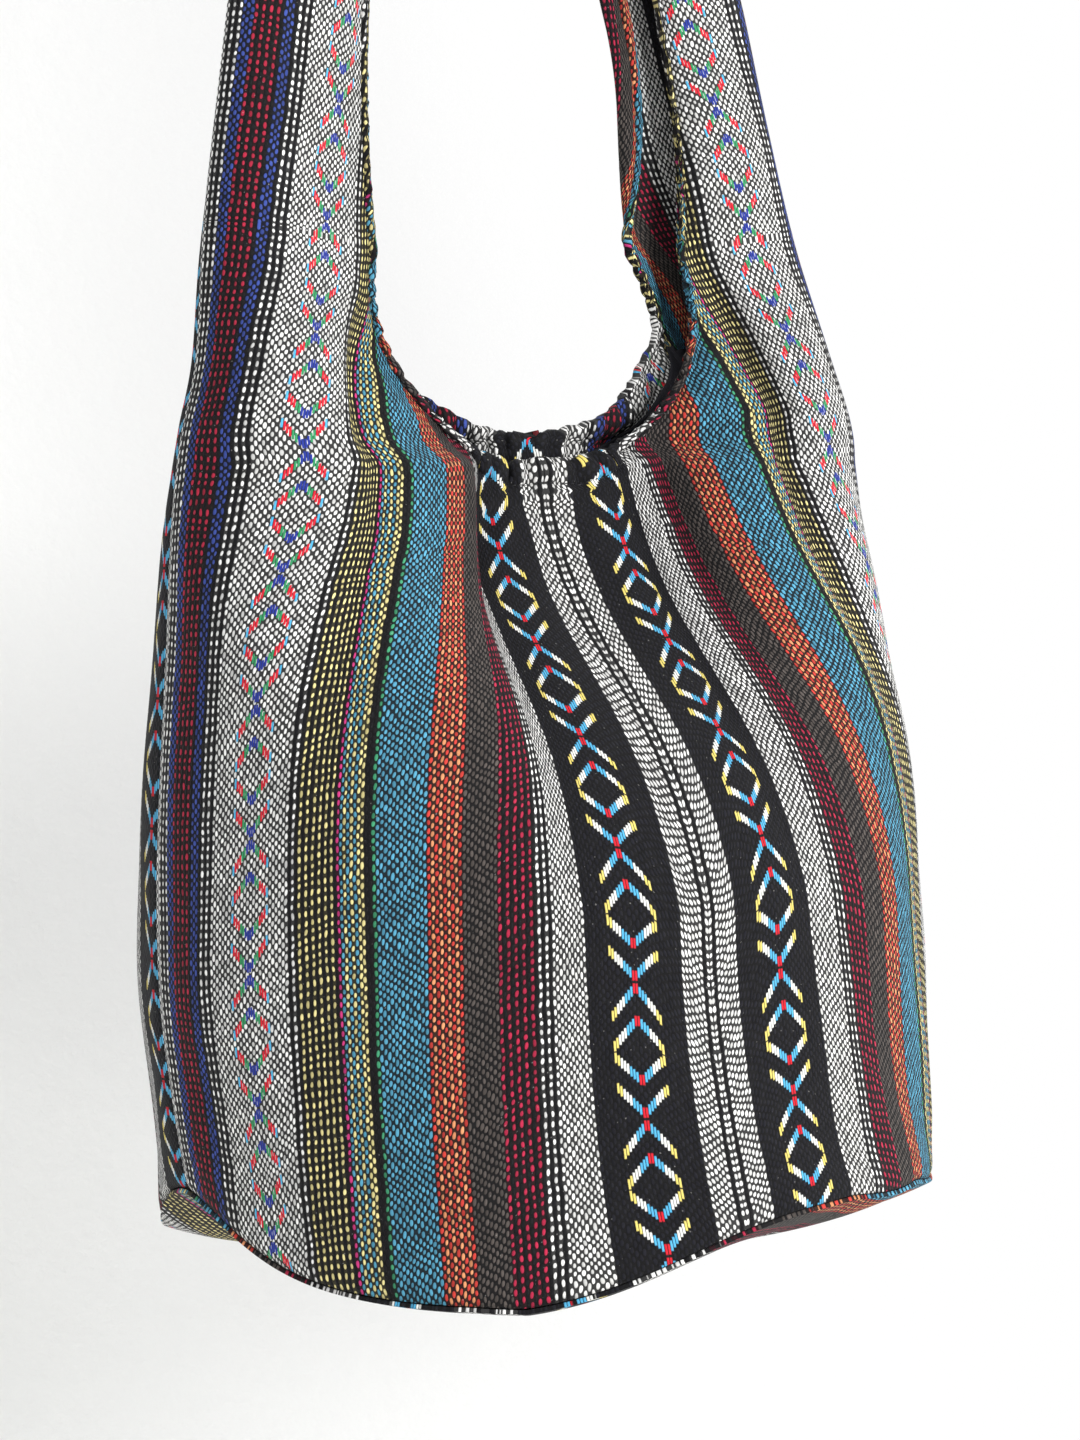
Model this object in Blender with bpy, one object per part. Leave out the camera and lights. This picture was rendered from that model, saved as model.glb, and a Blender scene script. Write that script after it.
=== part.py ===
"""Woven crossbody bag whose strap is cut in one with its body.

Two striped cotton panels, front and back, each run from the base up both sides of the
mouth to the top of the strap loop. They meet in a seam down each side. An oval base
panel closes the bottom, a plain lining sack with one patch pocket hangs inside, and a
press snap holds the middle of the mouth together. Metres, +Z up, front towards -Y.
The origin is the crest of the loop, on the seam line, where the bag hangs.
"""

import bpy
import numpy as np

# Driving sizes of the bag
BODY_HEIGHT = 0.321       # base seam to the lowest point of the front mouth
STRAP_DROP = 0.600        # mouth to the top of the loop
BASE_HALF_WIDTH = 0.156   # side line at the base seam
BODY_HALF_WIDTH = 0.164   # side line at the widest part of the body
MOUTH_HALF_WIDTH = 0.152  # side line level with the mouth
STRAP_HALF_SPAN = 0.085   # side line a third of the way up the strap
FRONT_CLOTH = 0.247       # cloth from the front centre line to a side seam
BACK_CLOTH = 0.247        # cloth from the back centre line to a side seam
STRAP_CLOTH = 0.073       # cloth left in each half of the strap, hem to side line
MOUTH_CUT_DEPTH = 0.300   # height over which the mouth's curved cut runs into the strap
BACK_MOUTH_RISE = 0.012   # how much higher the back of the mouth is cut

# How the cloth hangs
SIDE_LIFT = 0.030         # the base seam rises this much towards the sides
FRONT_LIFT = 0.036        # and this much towards the front
BASE_TILT = -0.002         # the right end hangs this much higher than the middle
TWIST = 0.002             # the base is turned this far round under the mouth
SEAM_BEHIND = 0.004       # the side seams hang this far round behind the side lines
STRAP_TURN = 0.017        # the right strap is turned this far round, its hem to the front
MOUTH_DRAW = 0.009        # the right side is drawn in this much below the mouth
MOUTH_SHIFT = 0.012       # the mouth's slopes hang this far to the right
CORNER_LIFT = 0.034       # the base's ends rise this much more at the very corners
FRONT_HUMP = 0.018        # and the front of the base this much more near its middle
STRAP_LEAN = 0.080        # the top of the loop leans back to the wall
BASE_BULGE = 0.006        # the base swells below its seam
BASE_SAG = 0.003          # and sags a little more in the middle

# Thicknesses and clearances
CLOTH = 0.0016
HEM_ROLL = 0.0038         # thickness of the turned hem
HEM_WIDTH = 0.011
LINING = 0.0008
SEAM_GAP = 0.0003
LAYER_GAP = 0.0004

# Press snap
SNAP_RADIUS = 0.007
SNAP_PLATE = 0.0012
SNAP_BELOW_EDGE = 0.008
STUD_RADIUS = 0.0022
STUD_LENGTH = 0.0011

# Patch pocket on the back lining
POCKET_HALF_WIDTH = 0.060
POCKET_BOTTOM = 0.090
POCKET_TOP = 0.215
POCKET_GAP = 0.0009

# Mesh steps
ROW_STEP = 0.024
STRAP_STEP = 0.021
COLUMNS = 8
SEAM_EDGE = 0.0012

for old in list(bpy.data.objects):
    bpy.data.objects.remove(old, do_unlink=True)

FRONT, BACK = 1, -1


def smooth(t):
    t = np.clip(t, 0.0, 1.0)
    return t * t * (3.0 - 2.0 * t)


def through(points, x):
    """Curve without overshoot through hand-set (place, value) pairs."""
    xs, ys = np.array(points, float).T
    step = np.diff(xs)
    slope = np.diff(ys) / step
    m = np.zeros_like(ys)
    same = slope[:-1] * slope[1:] > 0
    m[1:-1] = np.where(same, 2 * slope[:-1] * slope[1:] / (slope[:-1] + slope[1:] + 1e-30), 0)
    m[0], m[-1] = slope[0], slope[-1]
    x = np.clip(x, xs[0], xs[-1])
    i = np.clip(np.searchsorted(xs, x) - 1, 0, len(xs) - 2)
    t = (x - xs[i]) / step[i]
    return ((2 * t**3 - 3 * t**2 + 1) * ys[i] + (t**3 - 2 * t**2 + t) * step[i] * m[i]
            + (-2 * t**3 + 3 * t**2) * ys[i + 1] + (t**3 - t**2) * step[i] * m[i + 1])


def rounded_path(points, per=24):
    """Smooth line through points given as (x, z), mirrored at its last point."""
    p = np.array(points, float)
    p = np.vstack([2 * p[0] - p[1], p, [-p[-2][0], p[-2][1]]])
    out = []
    for a, b, c, d in zip(p[:-3], p[1:-2], p[2:-1], p[3:]):
        for t in np.linspace(0, 1, per, endpoint=False):
            out.append(0.5 * (2 * b + (c - a) * t + (2 * a - 5 * b + 4 * c - d) * t**2
                              + (-a + 3 * b - 3 * c + d) * t**3))
    out.append(p[-2])
    out.append(np.array([-out[-2][0], out[-2][1]]))
    return np.array(out)


# The side line as (x, z): up the side seam, up the strap and over to the top of the loop
UP = BODY_HEIGHT
SIDE_LINE = rounded_path([
    (BASE_HALF_WIDTH, 0.0), (BODY_HALF_WIDTH - 0.004, 0.15 * UP), (BODY_HALF_WIDTH, 0.33 * UP),
    (BODY_HALF_WIDTH - 0.001, 0.54 * UP), (BODY_HALF_WIDTH - 0.007, 0.78 * UP),
    (MOUTH_HALF_WIDTH, UP), (MOUTH_HALF_WIDTH - 0.010, UP + 0.07 * STRAP_DROP),
    (MOUTH_HALF_WIDTH - 0.019, UP + 0.153 * STRAP_DROP),
    (STRAP_HALF_SPAN + 0.028, UP + 0.32 * STRAP_DROP),
    (STRAP_HALF_SPAN + 0.010, UP + 0.487 * STRAP_DROP),
    (STRAP_HALF_SPAN, UP + 0.653 * STRAP_DROP), (STRAP_HALF_SPAN - 0.009, UP + 0.82 * STRAP_DROP),
    (STRAP_HALF_SPAN - 0.023, UP + 0.937 * STRAP_DROP),
    (STRAP_HALF_SPAN - 0.049, UP + 0.988 * STRAP_DROP), (0.0, UP + STRAP_DROP)])
ALONG = np.concatenate([[0], np.cumsum(np.linalg.norm(np.diff(SIDE_LINE, axis=0), axis=1))])
LOOP_TOP = ALONG[-2]
MOUTH = np.interp(UP, SIDE_LINE[:200, 1], ALONG[:200])


def side_at(v):
    """Place (x, z) and direction of the side line at cloth height v."""
    here = [np.interp(v, ALONG, SIDE_LINE[:, k]) for k in (0, 1)]
    ahead = [np.interp(v + 0.0015, ALONG, SIDE_LINE[:, k]) for k in (0, 1)]
    behind = [np.interp(v - 0.0015, ALONG, SIDE_LINE[:, k]) for k in (0, 1)]
    t = np.subtract(ahead, behind)
    return here[0], here[1], t / np.hypot(*t)


def cloth_of(face):
    return FRONT_CLOTH if face == FRONT else BACK_CLOTH


def mouth_of(face):
    return MOUTH if face == FRONT else MOUTH + BACK_MOUTH_RISE


def mouth_cut(face, v):
    """Half width cut away by the mouth at cloth height v."""
    t = np.clip((np.asarray(v, float) - mouth_of(face)) / MOUTH_CUT_DEPTH, 0, 1)
    return (cloth_of(face) - STRAP_CLOTH) * (1 - (1 - t)**2)**(1 / 2.2)


def hem_reach(face, h, x):
    """How far in from the side line the hem hangs, h above the mouth."""
    strap = [(0.3 * MOUTH_CUT_DEPTH, 0.071), (0.62 * MOUTH_CUT_DEPTH, 0.0586),
             (0.35, 0.052), (0.50, 0.044), (0.64, 0.022)]
    if h >= strap[0][0]:
        return through(strap, h)
    low = strap[0][0]
    x_low = side_at(mouth_of(face) + low)[0]
    at_low = (x_low - strap[0][1]) / mouth_cut(face, mouth_of(face) + low)
    gather = through([(0, 0.86), (0.5 * low, 0.70), (low, at_low)], h)
    return x - gather * mouth_cut(face, mouth_of(face) + h)


def evened(curve, count=129):
    """The curve at even steps along its length, and that length."""
    s = np.concatenate([[0], np.cumsum(np.linalg.norm(np.diff(curve, axis=0), axis=1))])
    g = np.linspace(0, s[-1], count)
    return np.stack([np.interp(g, s, curve[:, 0]), np.interp(g, s, curve[:, 1])], 1), s[-1]


SWEEP = np.linspace(0, 1, 97)


def bowl(face, half_width, depth):
    """Quarter of the body's section from the side line to the centre, pointed in front."""
    a = SWEEP * np.pi / 2
    power = 1.20 if face == FRONT else 1.0
    return np.stack([half_width * (1 - np.cos(a)**0.93), depth * np.sin(a)**power], 1)


def bowl_depth(face, v, half_width):
    """Depth at which the quarter section takes up all the cloth but the gathers."""
    gathered = through([(0, 0), (0.05, 0.03), (0.12, 0.045), (0.2, 0.06), (MOUTH, 0.16)],
                       min(v, MOUTH))
    length = cloth_of(face) * (1 - gathered)
    low, high = 0.02, 0.25
    for _ in range(18):
        mid = (low + high) / 2
        low, high = (mid, high) if evened(bowl(face, half_width, mid))[1] < length else (low, mid)
    return mid


def section(face, v):
    """Quarter section at height v: a bowl low down, the strap's folded lobe higher up."""
    x, z, direction = side_at(v)
    h = v - mouth_of(face)
    m = np.clip((v - 0.150) / (MOUTH - 0.150), 0, 1)
    m = m - 0.08 * np.sin(2 * np.pi * m)
    reach = x if h <= 0 else hem_reach(face, h, x)
    lobe = through([(-0.34, 0.12), (-0.12, 0.080), (0, 0.041), (0.05, 0.027), (0.09, 0.018),
                    (0.186, 0.0125), (0.42, 0.013), (0.54, 0.028), (0.64, 0.048)], h)
    lobe *= 1.0 if face == FRONT else 0.9
    gap = through([(-0.2, 0.03), (-0.05, 0.006), (0, 0.004), (0.02, 0.012), (0.05, 0.014),
                   (0.1, 0.008), (0.186, 0.004), (0.42, 0.006), (0.54, 0.016), (0.64, 0.044)], h)
    swell = 0.36
    across = SWEEP**1.6
    rising = np.sqrt(1 - (1 - np.clip(across / swell, 0, 1))**2)
    falling = (1 + np.cos(np.pi * np.clip((across - swell) / (1 - swell), 0, 1))) / 2
    shape = np.where(across < swell, lobe * rising, gap + (lobe - gap) * falling)
    folded = evened(np.stack([reach * across, shape], 1))[0]
    if m >= 1:
        return evened(folded)
    open_bowl = evened(bowl(face, x, bowl_depth(face, v, x)))[0]
    open_bowl[:, 0] *= reach / x
    return evened((1 - m) * open_bowl + m * folded)


# Soft folds that take up the gathered cloth: (cloth distance from the centre line, share)
FOLDS = {(FRONT, 1): [(0.045, 0.35), (0.078, 0.35), (0.155, 0.3)], (FRONT, -1): [(0.056, 0.8), (0.152, 0.2)],
         (BACK, 1): [(0.120, 1.0)], (BACK, -1): [(0.120, 1.0)]}


def take_up(face, side, end, length):
    """Arc position and inward dip along the quarter for cloth distances 0 to end."""
    w = np.linspace(0, end, 321)
    spare = end - length
    squeeze = np.zeros_like(w)
    for centre, share in FOLDS[face, side]:
        half = min(abs(spare * share) * 0.9 + 0.012, 0.040)
        at = min(cloth_of(face) - centre, end - 0.35 * half)
        bump = np.where(abs(w - at) < half, np.cos((w - at) / half * np.pi / 2)**2, 0)
        area = float(((bump[1:] + bump[:-1]) / 2 * np.diff(w)).sum())
        squeeze += np.clip(spare * share * 0.9 / max(area, 1e-6), -0.3, 0.93) * bump
    rate = 1 - np.clip(squeeze, -0.3, 0.95)
    steps = (rate[1:] + rate[:-1]) / 2
    s = np.concatenate([[0], np.cumsum(steps)])
    s *= length / s[-1]
    dip = np.clip(squeeze, 0, 0.95) / 0.95 * np.clip(spare, 0, 0.05) * 0.35
    return s, dip


def closed_outline(front, back):
    """The strap's outline round both its halves: arc positions and (n, y) points.

    Position 0 is the side line; it grows over the front to the inner edge and falls over
    the back. A small arc between the two hems closes the loop at the inner edge.
    """
    tip_front, tip_back = front[-1], back[-1] * (1, -1)
    t = np.linspace(0, 1, 11)[1:-1, None]
    reach = abs(tip_front[1] - tip_back[1]) / 2
    arc = tip_front + (tip_back - tip_front) * t
    arc[:, :1] += reach * np.sin(np.pi * t)
    outline = np.concatenate([back[::-1] * (1, -1), front[1:], arc, tip_back[None]])
    steps = np.linalg.norm(np.diff(outline, axis=0), axis=1)
    places = np.concatenate([[0], np.cumsum(steps)])
    return places - places[len(back) - 1], outline


def hung(face, side, v, q):
    """Points in space of the quarter at height v, q from 0 at the side seam to 1."""
    x, z, (tx, tz) = side_at(v)
    loops = {f: section(f, v) for f in (FRONT, BACK)}
    end = cloth_of(face) - float(mouth_cut(face, v))
    behind = SEAM_BEHIND * through([(0, 0.5), (0.06, 1), (LOOP_TOP - 0.08, 1), (LOOP_TOP, 0)], v)
    s, dip = take_up(face, side, end, loops[face][1] + face * behind)
    at = q * (len(s) - 1)
    s, dip = np.interp(at, np.arange(len(s)), s), np.interp(at, np.arange(len(dip)), dip)
    c = cloth_of(face) - q * end
    # The right half of the body's cloth, and the strap above it, are turned round a little
    held = smooth((side * c + 0.16) / 0.12) if face == FRONT else side * smooth(c / 0.2) * (side > 0)
    drift = side * TWIST * held * (1 - smooth((v - 0.17) / 0.075))
    turn = (STRAP_TURN * smooth((v - MOUTH) / 0.15)
            * (1 - smooth((v - LOOP_TOP + 0.20) / 0.17))) if side > 0 else 0.0
    s = face * s - behind + drift - turn
    side = np.full_like(s, side)
    front, back = loops[FRONT][0], loops[BACK][0]
    places, outline = closed_outline(front, back)
    if v < MOUTH:
        for f in (FRONT, BACK):
            over = f * s > loops[f][1] + 1e-9
            side, s = np.where(over, -side, side), np.where(over, f * 2 * loops[f][1] - s, s)
    else:
        s = np.where(s < places[0], s + places[-1] - places[0], s)

    def spot(p):
        return np.interp(p, places, outline[:, 0]), np.interp(p, places, outline[:, 1])

    n, y = spot(s)
    n_ahead, y_ahead = spot(s + 0.004)
    n_behind, y_behind = spot(s - 0.004)
    dn, dy = n_ahead - n_behind, y_ahead - y_behind
    length = np.hypot(dn, dy) + 1e-12
    dip = np.minimum(dip, 0.45 * abs(y))
    n, y = n + dy / length * dip, y - dn / length * dip
    k = smooth((v - MOUTH - 0.02) / 0.15)
    inward = np.array([1 - k + k * tz, k * tx])
    inward /= np.hypot(*inward)
    px, pz = side * (x - n * inward[0]), z + n * inward[1]
    drawn = MOUTH_DRAW * np.exp(-((v - MOUTH + 0.02) / 0.13)**2)
    px -= drawn * np.clip(px / BODY_HALF_WIDTH, 0, 1)
    between = np.sin(np.pi * np.clip(abs(px) / (0.97 * BODY_HALF_WIDTH), 0, 1))
    share = np.where(px > 0, 0.4, 1.0)
    px += MOUTH_SHIFT * share * between * np.exp(-((v - MOUTH - 0.01) / 0.055)**2)
    low = max(1 - v / 0.20, 0)**1.6
    out = np.clip(abs(px) / BODY_HALF_WIDTH, 0, 1)
    lift = np.where(px > 0, 1.0, 0.65) * SIDE_LIFT * out**2.6
    corner = np.clip(abs(px) / BASE_HALF_WIDTH, 0, 1)
    lift += np.where(px > 0, 1.0, 0.75) * CORNER_LIFT * corner**16
    lift += FRONT_LIFT * np.clip(y / 0.125, 0, 1)**1.5 * np.clip((px + 0.12) / 0.2, 0.2, 0.85)
    lift += FRONT_HUMP * np.clip(y / 0.1, 0, 1) * np.exp(-((px - 0.010) / 0.07)**2)
    lift += BASE_TILT * px / BODY_HALF_WIDTH
    lean = STRAP_LEAN * through([(MOUTH, 0), (MOUTH + 0.19, 0.27), (LOOP_TOP, 1)], v)
    return np.stack([px, lean - STRAP_LEAN - y, pz + low * lift - UP - STRAP_DROP], 1)


near = 0.0002 * 1.45**np.arange(11)
LEVELS = np.unique(np.round(np.concatenate([
    np.linspace(0, MOUTH, 91), np.linspace(MOUTH + 0.01, LOOP_TOP, 171),
    MOUTH + near, MOUTH + BACK_MOUTH_RISE + near]), 7))
SHARES = np.linspace(0, 1, 241)
TABLE = {(face, side): np.array([hung(face, side, v, SHARES) for v in LEVELS])
         for face in (FRONT, BACK) for side in (1, -1)}


def cloth_point(face, c, v):
    """Point in space of the cloth c from the centre line of a face, at height v."""
    c, v = np.broadcast_arrays(np.asarray(c, float), np.asarray(v, float))
    v = np.clip(v, 0, LOOP_TOP)
    q = (cloth_of(face) - abs(c)) / (cloth_of(face) - mouth_cut(face, v))
    q = np.clip(q, 0, 1) * (len(SHARES) - 1)
    j = np.clip(q.astype(int), 0, len(SHARES) - 2)
    k = np.clip(np.searchsorted(LEVELS, v, side="right") - 1, 0, len(LEVELS) - 2)
    a = ((v - LEVELS[k]) / (LEVELS[k + 1] - LEVELS[k]))[..., None]
    b = (q - j)[..., None]
    out = np.zeros(c.shape + (3,))
    for side in (1, -1):
        t = TABLE[face, side]
        p = ((1 - a) * ((1 - b) * t[k, j] + b * t[k, j + 1])
             + a * ((1 - b) * t[k + 1, j] + b * t[k + 1, j + 1]))
        mine = (c >= 0) if side == 1 else (c < 0)
        out[mine] = p[mine]
    return out


def hem_line(face):
    """The hem as cloth points (c, v), evenly spaced from the centre up to the loop's top."""
    h = np.concatenate([[0], np.geomspace(1e-5, 0.02, 80), np.linspace(0.021, 1.2, 900)])
    v = mouth_of(face) + h
    v = v[v < LOOP_TOP]
    line = np.stack([mouth_cut(face, v), v], 1)
    s = np.concatenate([[0], np.cumsum(np.linalg.norm(np.diff(line, axis=0), axis=1))])
    return line, s


def hem_distance(face, c, v):
    line = hem_line(face)[0]
    points = np.stack([abs(np.asarray(c)).ravel(), np.asarray(v).ravel()], 1)
    d = np.min(np.linalg.norm(points[:, None] - line[None], axis=2), axis=1)
    return d.reshape(np.shape(c))


def hem_frame(face, stations):
    """Hem points at distances along it, with the unit vector into the cloth."""
    line, s = hem_line(face)
    p = np.stack([np.interp(stations, s, line[:, k]) for k in (0, 1)], 1)
    q = np.stack([np.interp(np.asarray(stations) + 0.002, s, line[:, k]) for k in (0, 1)], 1)
    r = np.stack([np.interp(np.asarray(stations) - 0.002, s, line[:, k]) for k in (0, 1)], 1)
    r[0] = p[0] - (q[0] - p[0]) * (1, -1)
    t = q - r
    t /= np.linalg.norm(t, axis=1, keepdims=True)
    return p, np.stack([t[:, 1], -t[:, 0]], 1)


TURN_END = 0.10           # height over which the rows swing from level to the mouth's slope
BELOW = 0.060


def panel_layout(face, first=0.0, last=None, hem=True):
    """Half-panel grids of cloth points (c, v): the hem band and the field beside it."""
    line, s = hem_line(face)
    last = LOOP_TOP - SEAM_GAP / 2 if last is None else last
    band = HEM_WIDTH + 0.002
    turn = np.interp(mouth_of(face) + TURN_END, line[:, 1], s)
    top = np.interp(last, line[:, 1], s)
    lower = np.linspace(0, turn, int(round(turn / 0.0145)) + 1)
    upper = np.linspace(turn, top, int(round((top - turn) / STRAP_STEP)) + 1)[1:]
    stations = np.concatenate([lower, upper])
    edge, inward = hem_frame(face, stations)
    edge[-1, 1] = last
    depths = np.array([0, 0.0022, 0.0060, 0.0092, band])
    strips = edge[:, None] + depths[None, :, None] * inward[:, None]
    strips[0, :, 0] = 0.0
    strips[-1, :, 1] = last
    inner = strips[:, -1]
    seam_c = cloth_of(face) - SEAM_GAP / 2
    # Outer ends of the rows, on the side seam
    outer_v = np.where(stations < turn, mouth_of(face) - BELOW
                       + stations / turn * (TURN_END + BELOW), inner[:, 1])
    rows = int(round((inner[0, 1] - first) / ROW_STEP))
    body_in = np.linspace(first, inner[0, 1], rows + 1)[:-1]
    body_out = np.linspace(first, outer_v[0], rows + 1)[:-1]
    starts = np.concatenate([np.stack([np.zeros(rows), body_in], 1), inner])
    ends = np.concatenate([body_out, outer_v])
    # A narrow last column keeps the two panels' edges parallel along the side seam
    before_edge = 1 - SEAM_EDGE / (seam_c - starts[:, :1])
    g = np.concatenate([before_edge * np.linspace(0, 1, COLUMNS + 1), np.ones((len(starts), 1))], 1)
    field = np.stack([starts[:, :1] + (seam_c - starts[:, :1]) * g,
                      starts[:, 1:] + (ends[:, None] - starts[:, 1:]) * g], 2)
    return [strips, field] if hem else [field]


def in_space(face, side, grid):
    """Adds the place in space to each cloth point of a half-panel grid: (c, v, x, y, z)."""
    c, v = side * grid[..., 0], grid[..., 1]
    # The centre line belongs to both halves, so it is always read from the same one
    place = cloth_point(face, c, v)
    return np.concatenate([c[..., None], v[..., None], place], -1)


def joined(face, halves):
    """One sheet from {side: grids}: its (c, v, x, y, z) points and outward quads."""
    index, points, quads = {}, [], []
    for side, grids in halves.items():
        for grid in grids:
            ids = []
            for row in grid:
                keys = [(round(p[0] * 2e6), round(p[1] * 2e6)) for p in row]
                for key, p in zip(keys, row):
                    if key not in index:
                        index[key] = len(points)
                        points.append(p)
                ids.append([index[key] for key in keys])
            for a, b in zip(ids[:-1], ids[1:]):
                for k in range(len(a) - 1):
                    quad = (a[k], a[k + 1], b[k + 1], b[k])
                    quads.append(quad if side * face == 1 else quad[::-1])
    return np.array(points), quads


def point_normals(places, quads):
    """Outward normals at the points of a sheet."""
    q = np.array(quads)
    across = np.cross(places[q[:, 2]] - places[q[:, 0]], places[q[:, 3]] - places[q[:, 1]])
    across /= np.linalg.norm(across, axis=1, keepdims=True) + 1e-15
    out = np.zeros_like(places)
    for k in range(4):
        arms = [places[q[:, (k + d) % 4]] - places[q[:, k]] for d in (1, 3)]
        arms = [arm / (np.linalg.norm(arm, axis=1, keepdims=True) + 1e-15) for arm in arms]
        angle = np.arccos(np.clip((arms[0] * arms[1]).sum(1), -1, 1))
        np.add.at(out, q[:, k], across * angle[:, None])
    return out / np.linalg.norm(out, axis=1, keepdims=True)


def material(name, colour, roughness, metallic=0.0):
    mat = bpy.data.materials.new(name)
    mat.use_nodes = True
    shader = mat.node_tree.nodes["Principled BSDF"]
    shader.inputs["Base Color"].default_value = (*colour, 1.0)
    shader.inputs["Roughness"].default_value = roughness
    shader.inputs["Metallic"].default_value = metallic
    mat.diffuse_color = (*colour, 1.0)
    return mat


def new_object(name, vertices, faces, mat):
    mesh = bpy.data.meshes.new(name)
    mesh.from_pydata([tuple(map(float, p)) for p in vertices], [], faces)
    mesh.validate()
    mesh.shade_smooth()
    obj = bpy.data.objects.new(name, mesh)
    bpy.context.scene.collection.objects.link(obj)
    obj.data.materials.append(mat)
    return obj


def thicken(obj, thickness, shares=None):
    """Gives the sheet its thickness, centred on it; shares vary it from point to point."""
    solid = obj.modifiers.new("Thickness", "SOLIDIFY")
    solid.thickness = thickness
    solid.offset = 0.0
    if shares is not None:
        group = obj.vertex_groups.new(name="thickness")
        for i, share in enumerate(shares):
            group.add([i], float(share), "REPLACE")
        solid.vertex_group = "thickness"
    return obj


def cloth_sheet(name, face, halves, mat, offset, thickness, hem=False):
    """One sewn piece, offset inwards from the outer cloth."""
    points, quads = joined(face, halves)
    c, v, places = points[:, 0], points[:, 1], points[:, 2:]
    obj = new_object(name, places - offset * point_normals(places, quads), quads, mat)
    if not hem:
        return thicken(obj, thickness)
    d = hem_distance(face, c, v)
    roll = through([(0, 0.0026), (0.0022, HEM_ROLL), (0.0060, HEM_ROLL), (0.0092, 0.0019),
                    (HEM_WIDTH + 0.001, thickness), (1, thickness)], d)
    return thicken(obj, HEM_ROLL, roll / HEM_ROLL)


weave_front = material("striped_cotton_front", (0.16, 0.13, 0.14), 0.92)
weave_back = material("striped_cotton_back", (0.16, 0.13, 0.14), 0.92)
weave_base = material("striped_cotton_base", (0.17, 0.10, 0.10), 0.92)
plain_lining = material("plain_cotton_lining", (0.030, 0.030, 0.034), 0.85)
snap_metal = material("nickel_plated_brass", (0.55, 0.54, 0.52), 0.30, 1.0)

for face, name, mat in ((FRONT, "front_panel", weave_front), (BACK, "back_panel", weave_back)):
    cut = panel_layout(face)
    cloth_sheet(name, face, {side: [in_space(face, side, grid) for grid in cut]
                             for side in (1, -1)}, mat, 0.0, CLOTH, hem=True)

# Lining sack: it starts under the hem and ends where the straps begin
LINING_DEPTH = CLOTH / 2 + LAYER_GAP + LINING / 2
LINING_TOP = MOUTH + 0.050
LINING_FOOT = 0.0045      # how far the sack's sides stop above the base seam
LINING_EDGE = 0.0020      # how far they stop short of the side seams


def part_of_grid(grid, rows, columns):
    """The grid's points at fractional rows and columns."""
    i, j = np.meshgrid(rows, columns, indexing="ij")
    a = np.minimum(i.astype(int), grid.shape[0] - 2)
    b = np.minimum(j.astype(int), grid.shape[1] - 2)
    di, dj = (i - a)[..., None], (j - b)[..., None]
    return ((1 - di) * ((1 - dj) * grid[a, b] + dj * grid[a, b + 1])
            + di * ((1 - dj) * grid[a + 1, b] + dj * grid[a + 1, b + 1]))


def steps_between(first, last):
    """first, every whole number between, and last."""
    return np.concatenate([[first], np.arange(np.floor(first) + 1, np.ceil(last)), [last]])


def lining_grid(face, side):
    """The panel's field below the strap, kept a little inside its seams and its hem."""
    grid = in_space(face, side, panel_layout(face)[1])
    starts = grid[:, 0]
    top = int(np.sum(starts[:, 1] < LINING_TOP)) - 1
    first = LINING_FOOT / (starts[1, 1] - starts[0, 1])
    last_column = grid.shape[1] - 2
    inside = last_column - LINING_EDGE / abs(grid[0, last_column, 0] - grid[0, last_column - 1, 0])
    columns = steps_between(0, inside)
    return part_of_grid(grid, steps_between(first, top), columns)


linings = {face: {side: lining_grid(face, side) for side in (1, -1)} for face in (FRONT, BACK)}
for face, name in ((FRONT, "lining_front"), (BACK, "lining_back")):
    cloth_sheet(name, face, {side: [grid] for side, grid in linings[face].items()},
                plain_lining, LINING_DEPTH, LINING)

# Patch pocket, sewn flat on the inside of the back lining
grid = linings[BACK][1]
pocket_rows = np.interp([POCKET_BOTTOM, POCKET_TOP], grid[:, 0, 1], np.arange(len(grid)))
pocket_edge = np.interp(POCKET_HALF_WIDTH, grid[2, :, 0], np.arange(grid.shape[1]))
pocket = {side: [part_of_grid(grid, steps_between(*pocket_rows), steps_between(0, pocket_edge))]
          for side, grid in linings[BACK].items()}
pocket_depth = LINING_DEPTH + LINING + POCKET_GAP
cloth_sheet("inner_pocket", BACK, pocket, plain_lining, pocket_depth, LINING)


def base_surface(name, mat, inset, lift, thickness, rings):
    """Oval sheet inside the base seam, swelling down just inside its edge."""
    around = []
    for face in (FRONT, BACK):
        half = panel_layout(face)[1][0, :-1, 0]
        half[-1] = cloth_of(face)
        whole = np.concatenate([-half[:0:-1], half])
        around.append(cloth_point(face, face * whole[:-1], 0.0))
    rim = np.concatenate(around)
    spokes = len(rim)
    middle = rim.mean(axis=0)
    middle[2] = (rim[:, 2].min() + rim[:, 2].mean()) / 2
    span = np.linalg.norm((rim - middle)[:, :2], axis=1)
    outer = 1 - inset / span
    vertices, faces = [], []
    for ring in rings:
        r = (outer * ring)[:, None]
        place = middle + (rim - middle) * r
        rise = rim[:, 2:3] * r**1.4 + middle[2] * (1 - r**1.4)
        drop = BASE_BULGE * (1 - r**7) + BASE_SAG * (1 - r**2)
        place[:, 2:3] = rise - drop + lift
        vertices.extend(place)
    for k in range(len(rings) - 1):
        for i in range(spokes):
            j = (i + 1) % spokes
            faces.append((k * spokes + i, (k + 1) * spokes + i,
                          (k + 1) * spokes + j, k * spokes + j))
    hub = len(vertices)
    vertices.append(middle + (0, 0, lift - BASE_BULGE - BASE_SAG))
    last = (len(rings) - 1) * spokes
    faces += [(last + i, hub, last + (i + 1) % spokes) for i in range(spokes)]
    return thicken(new_object(name, vertices, faces, mat), thickness)


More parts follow.
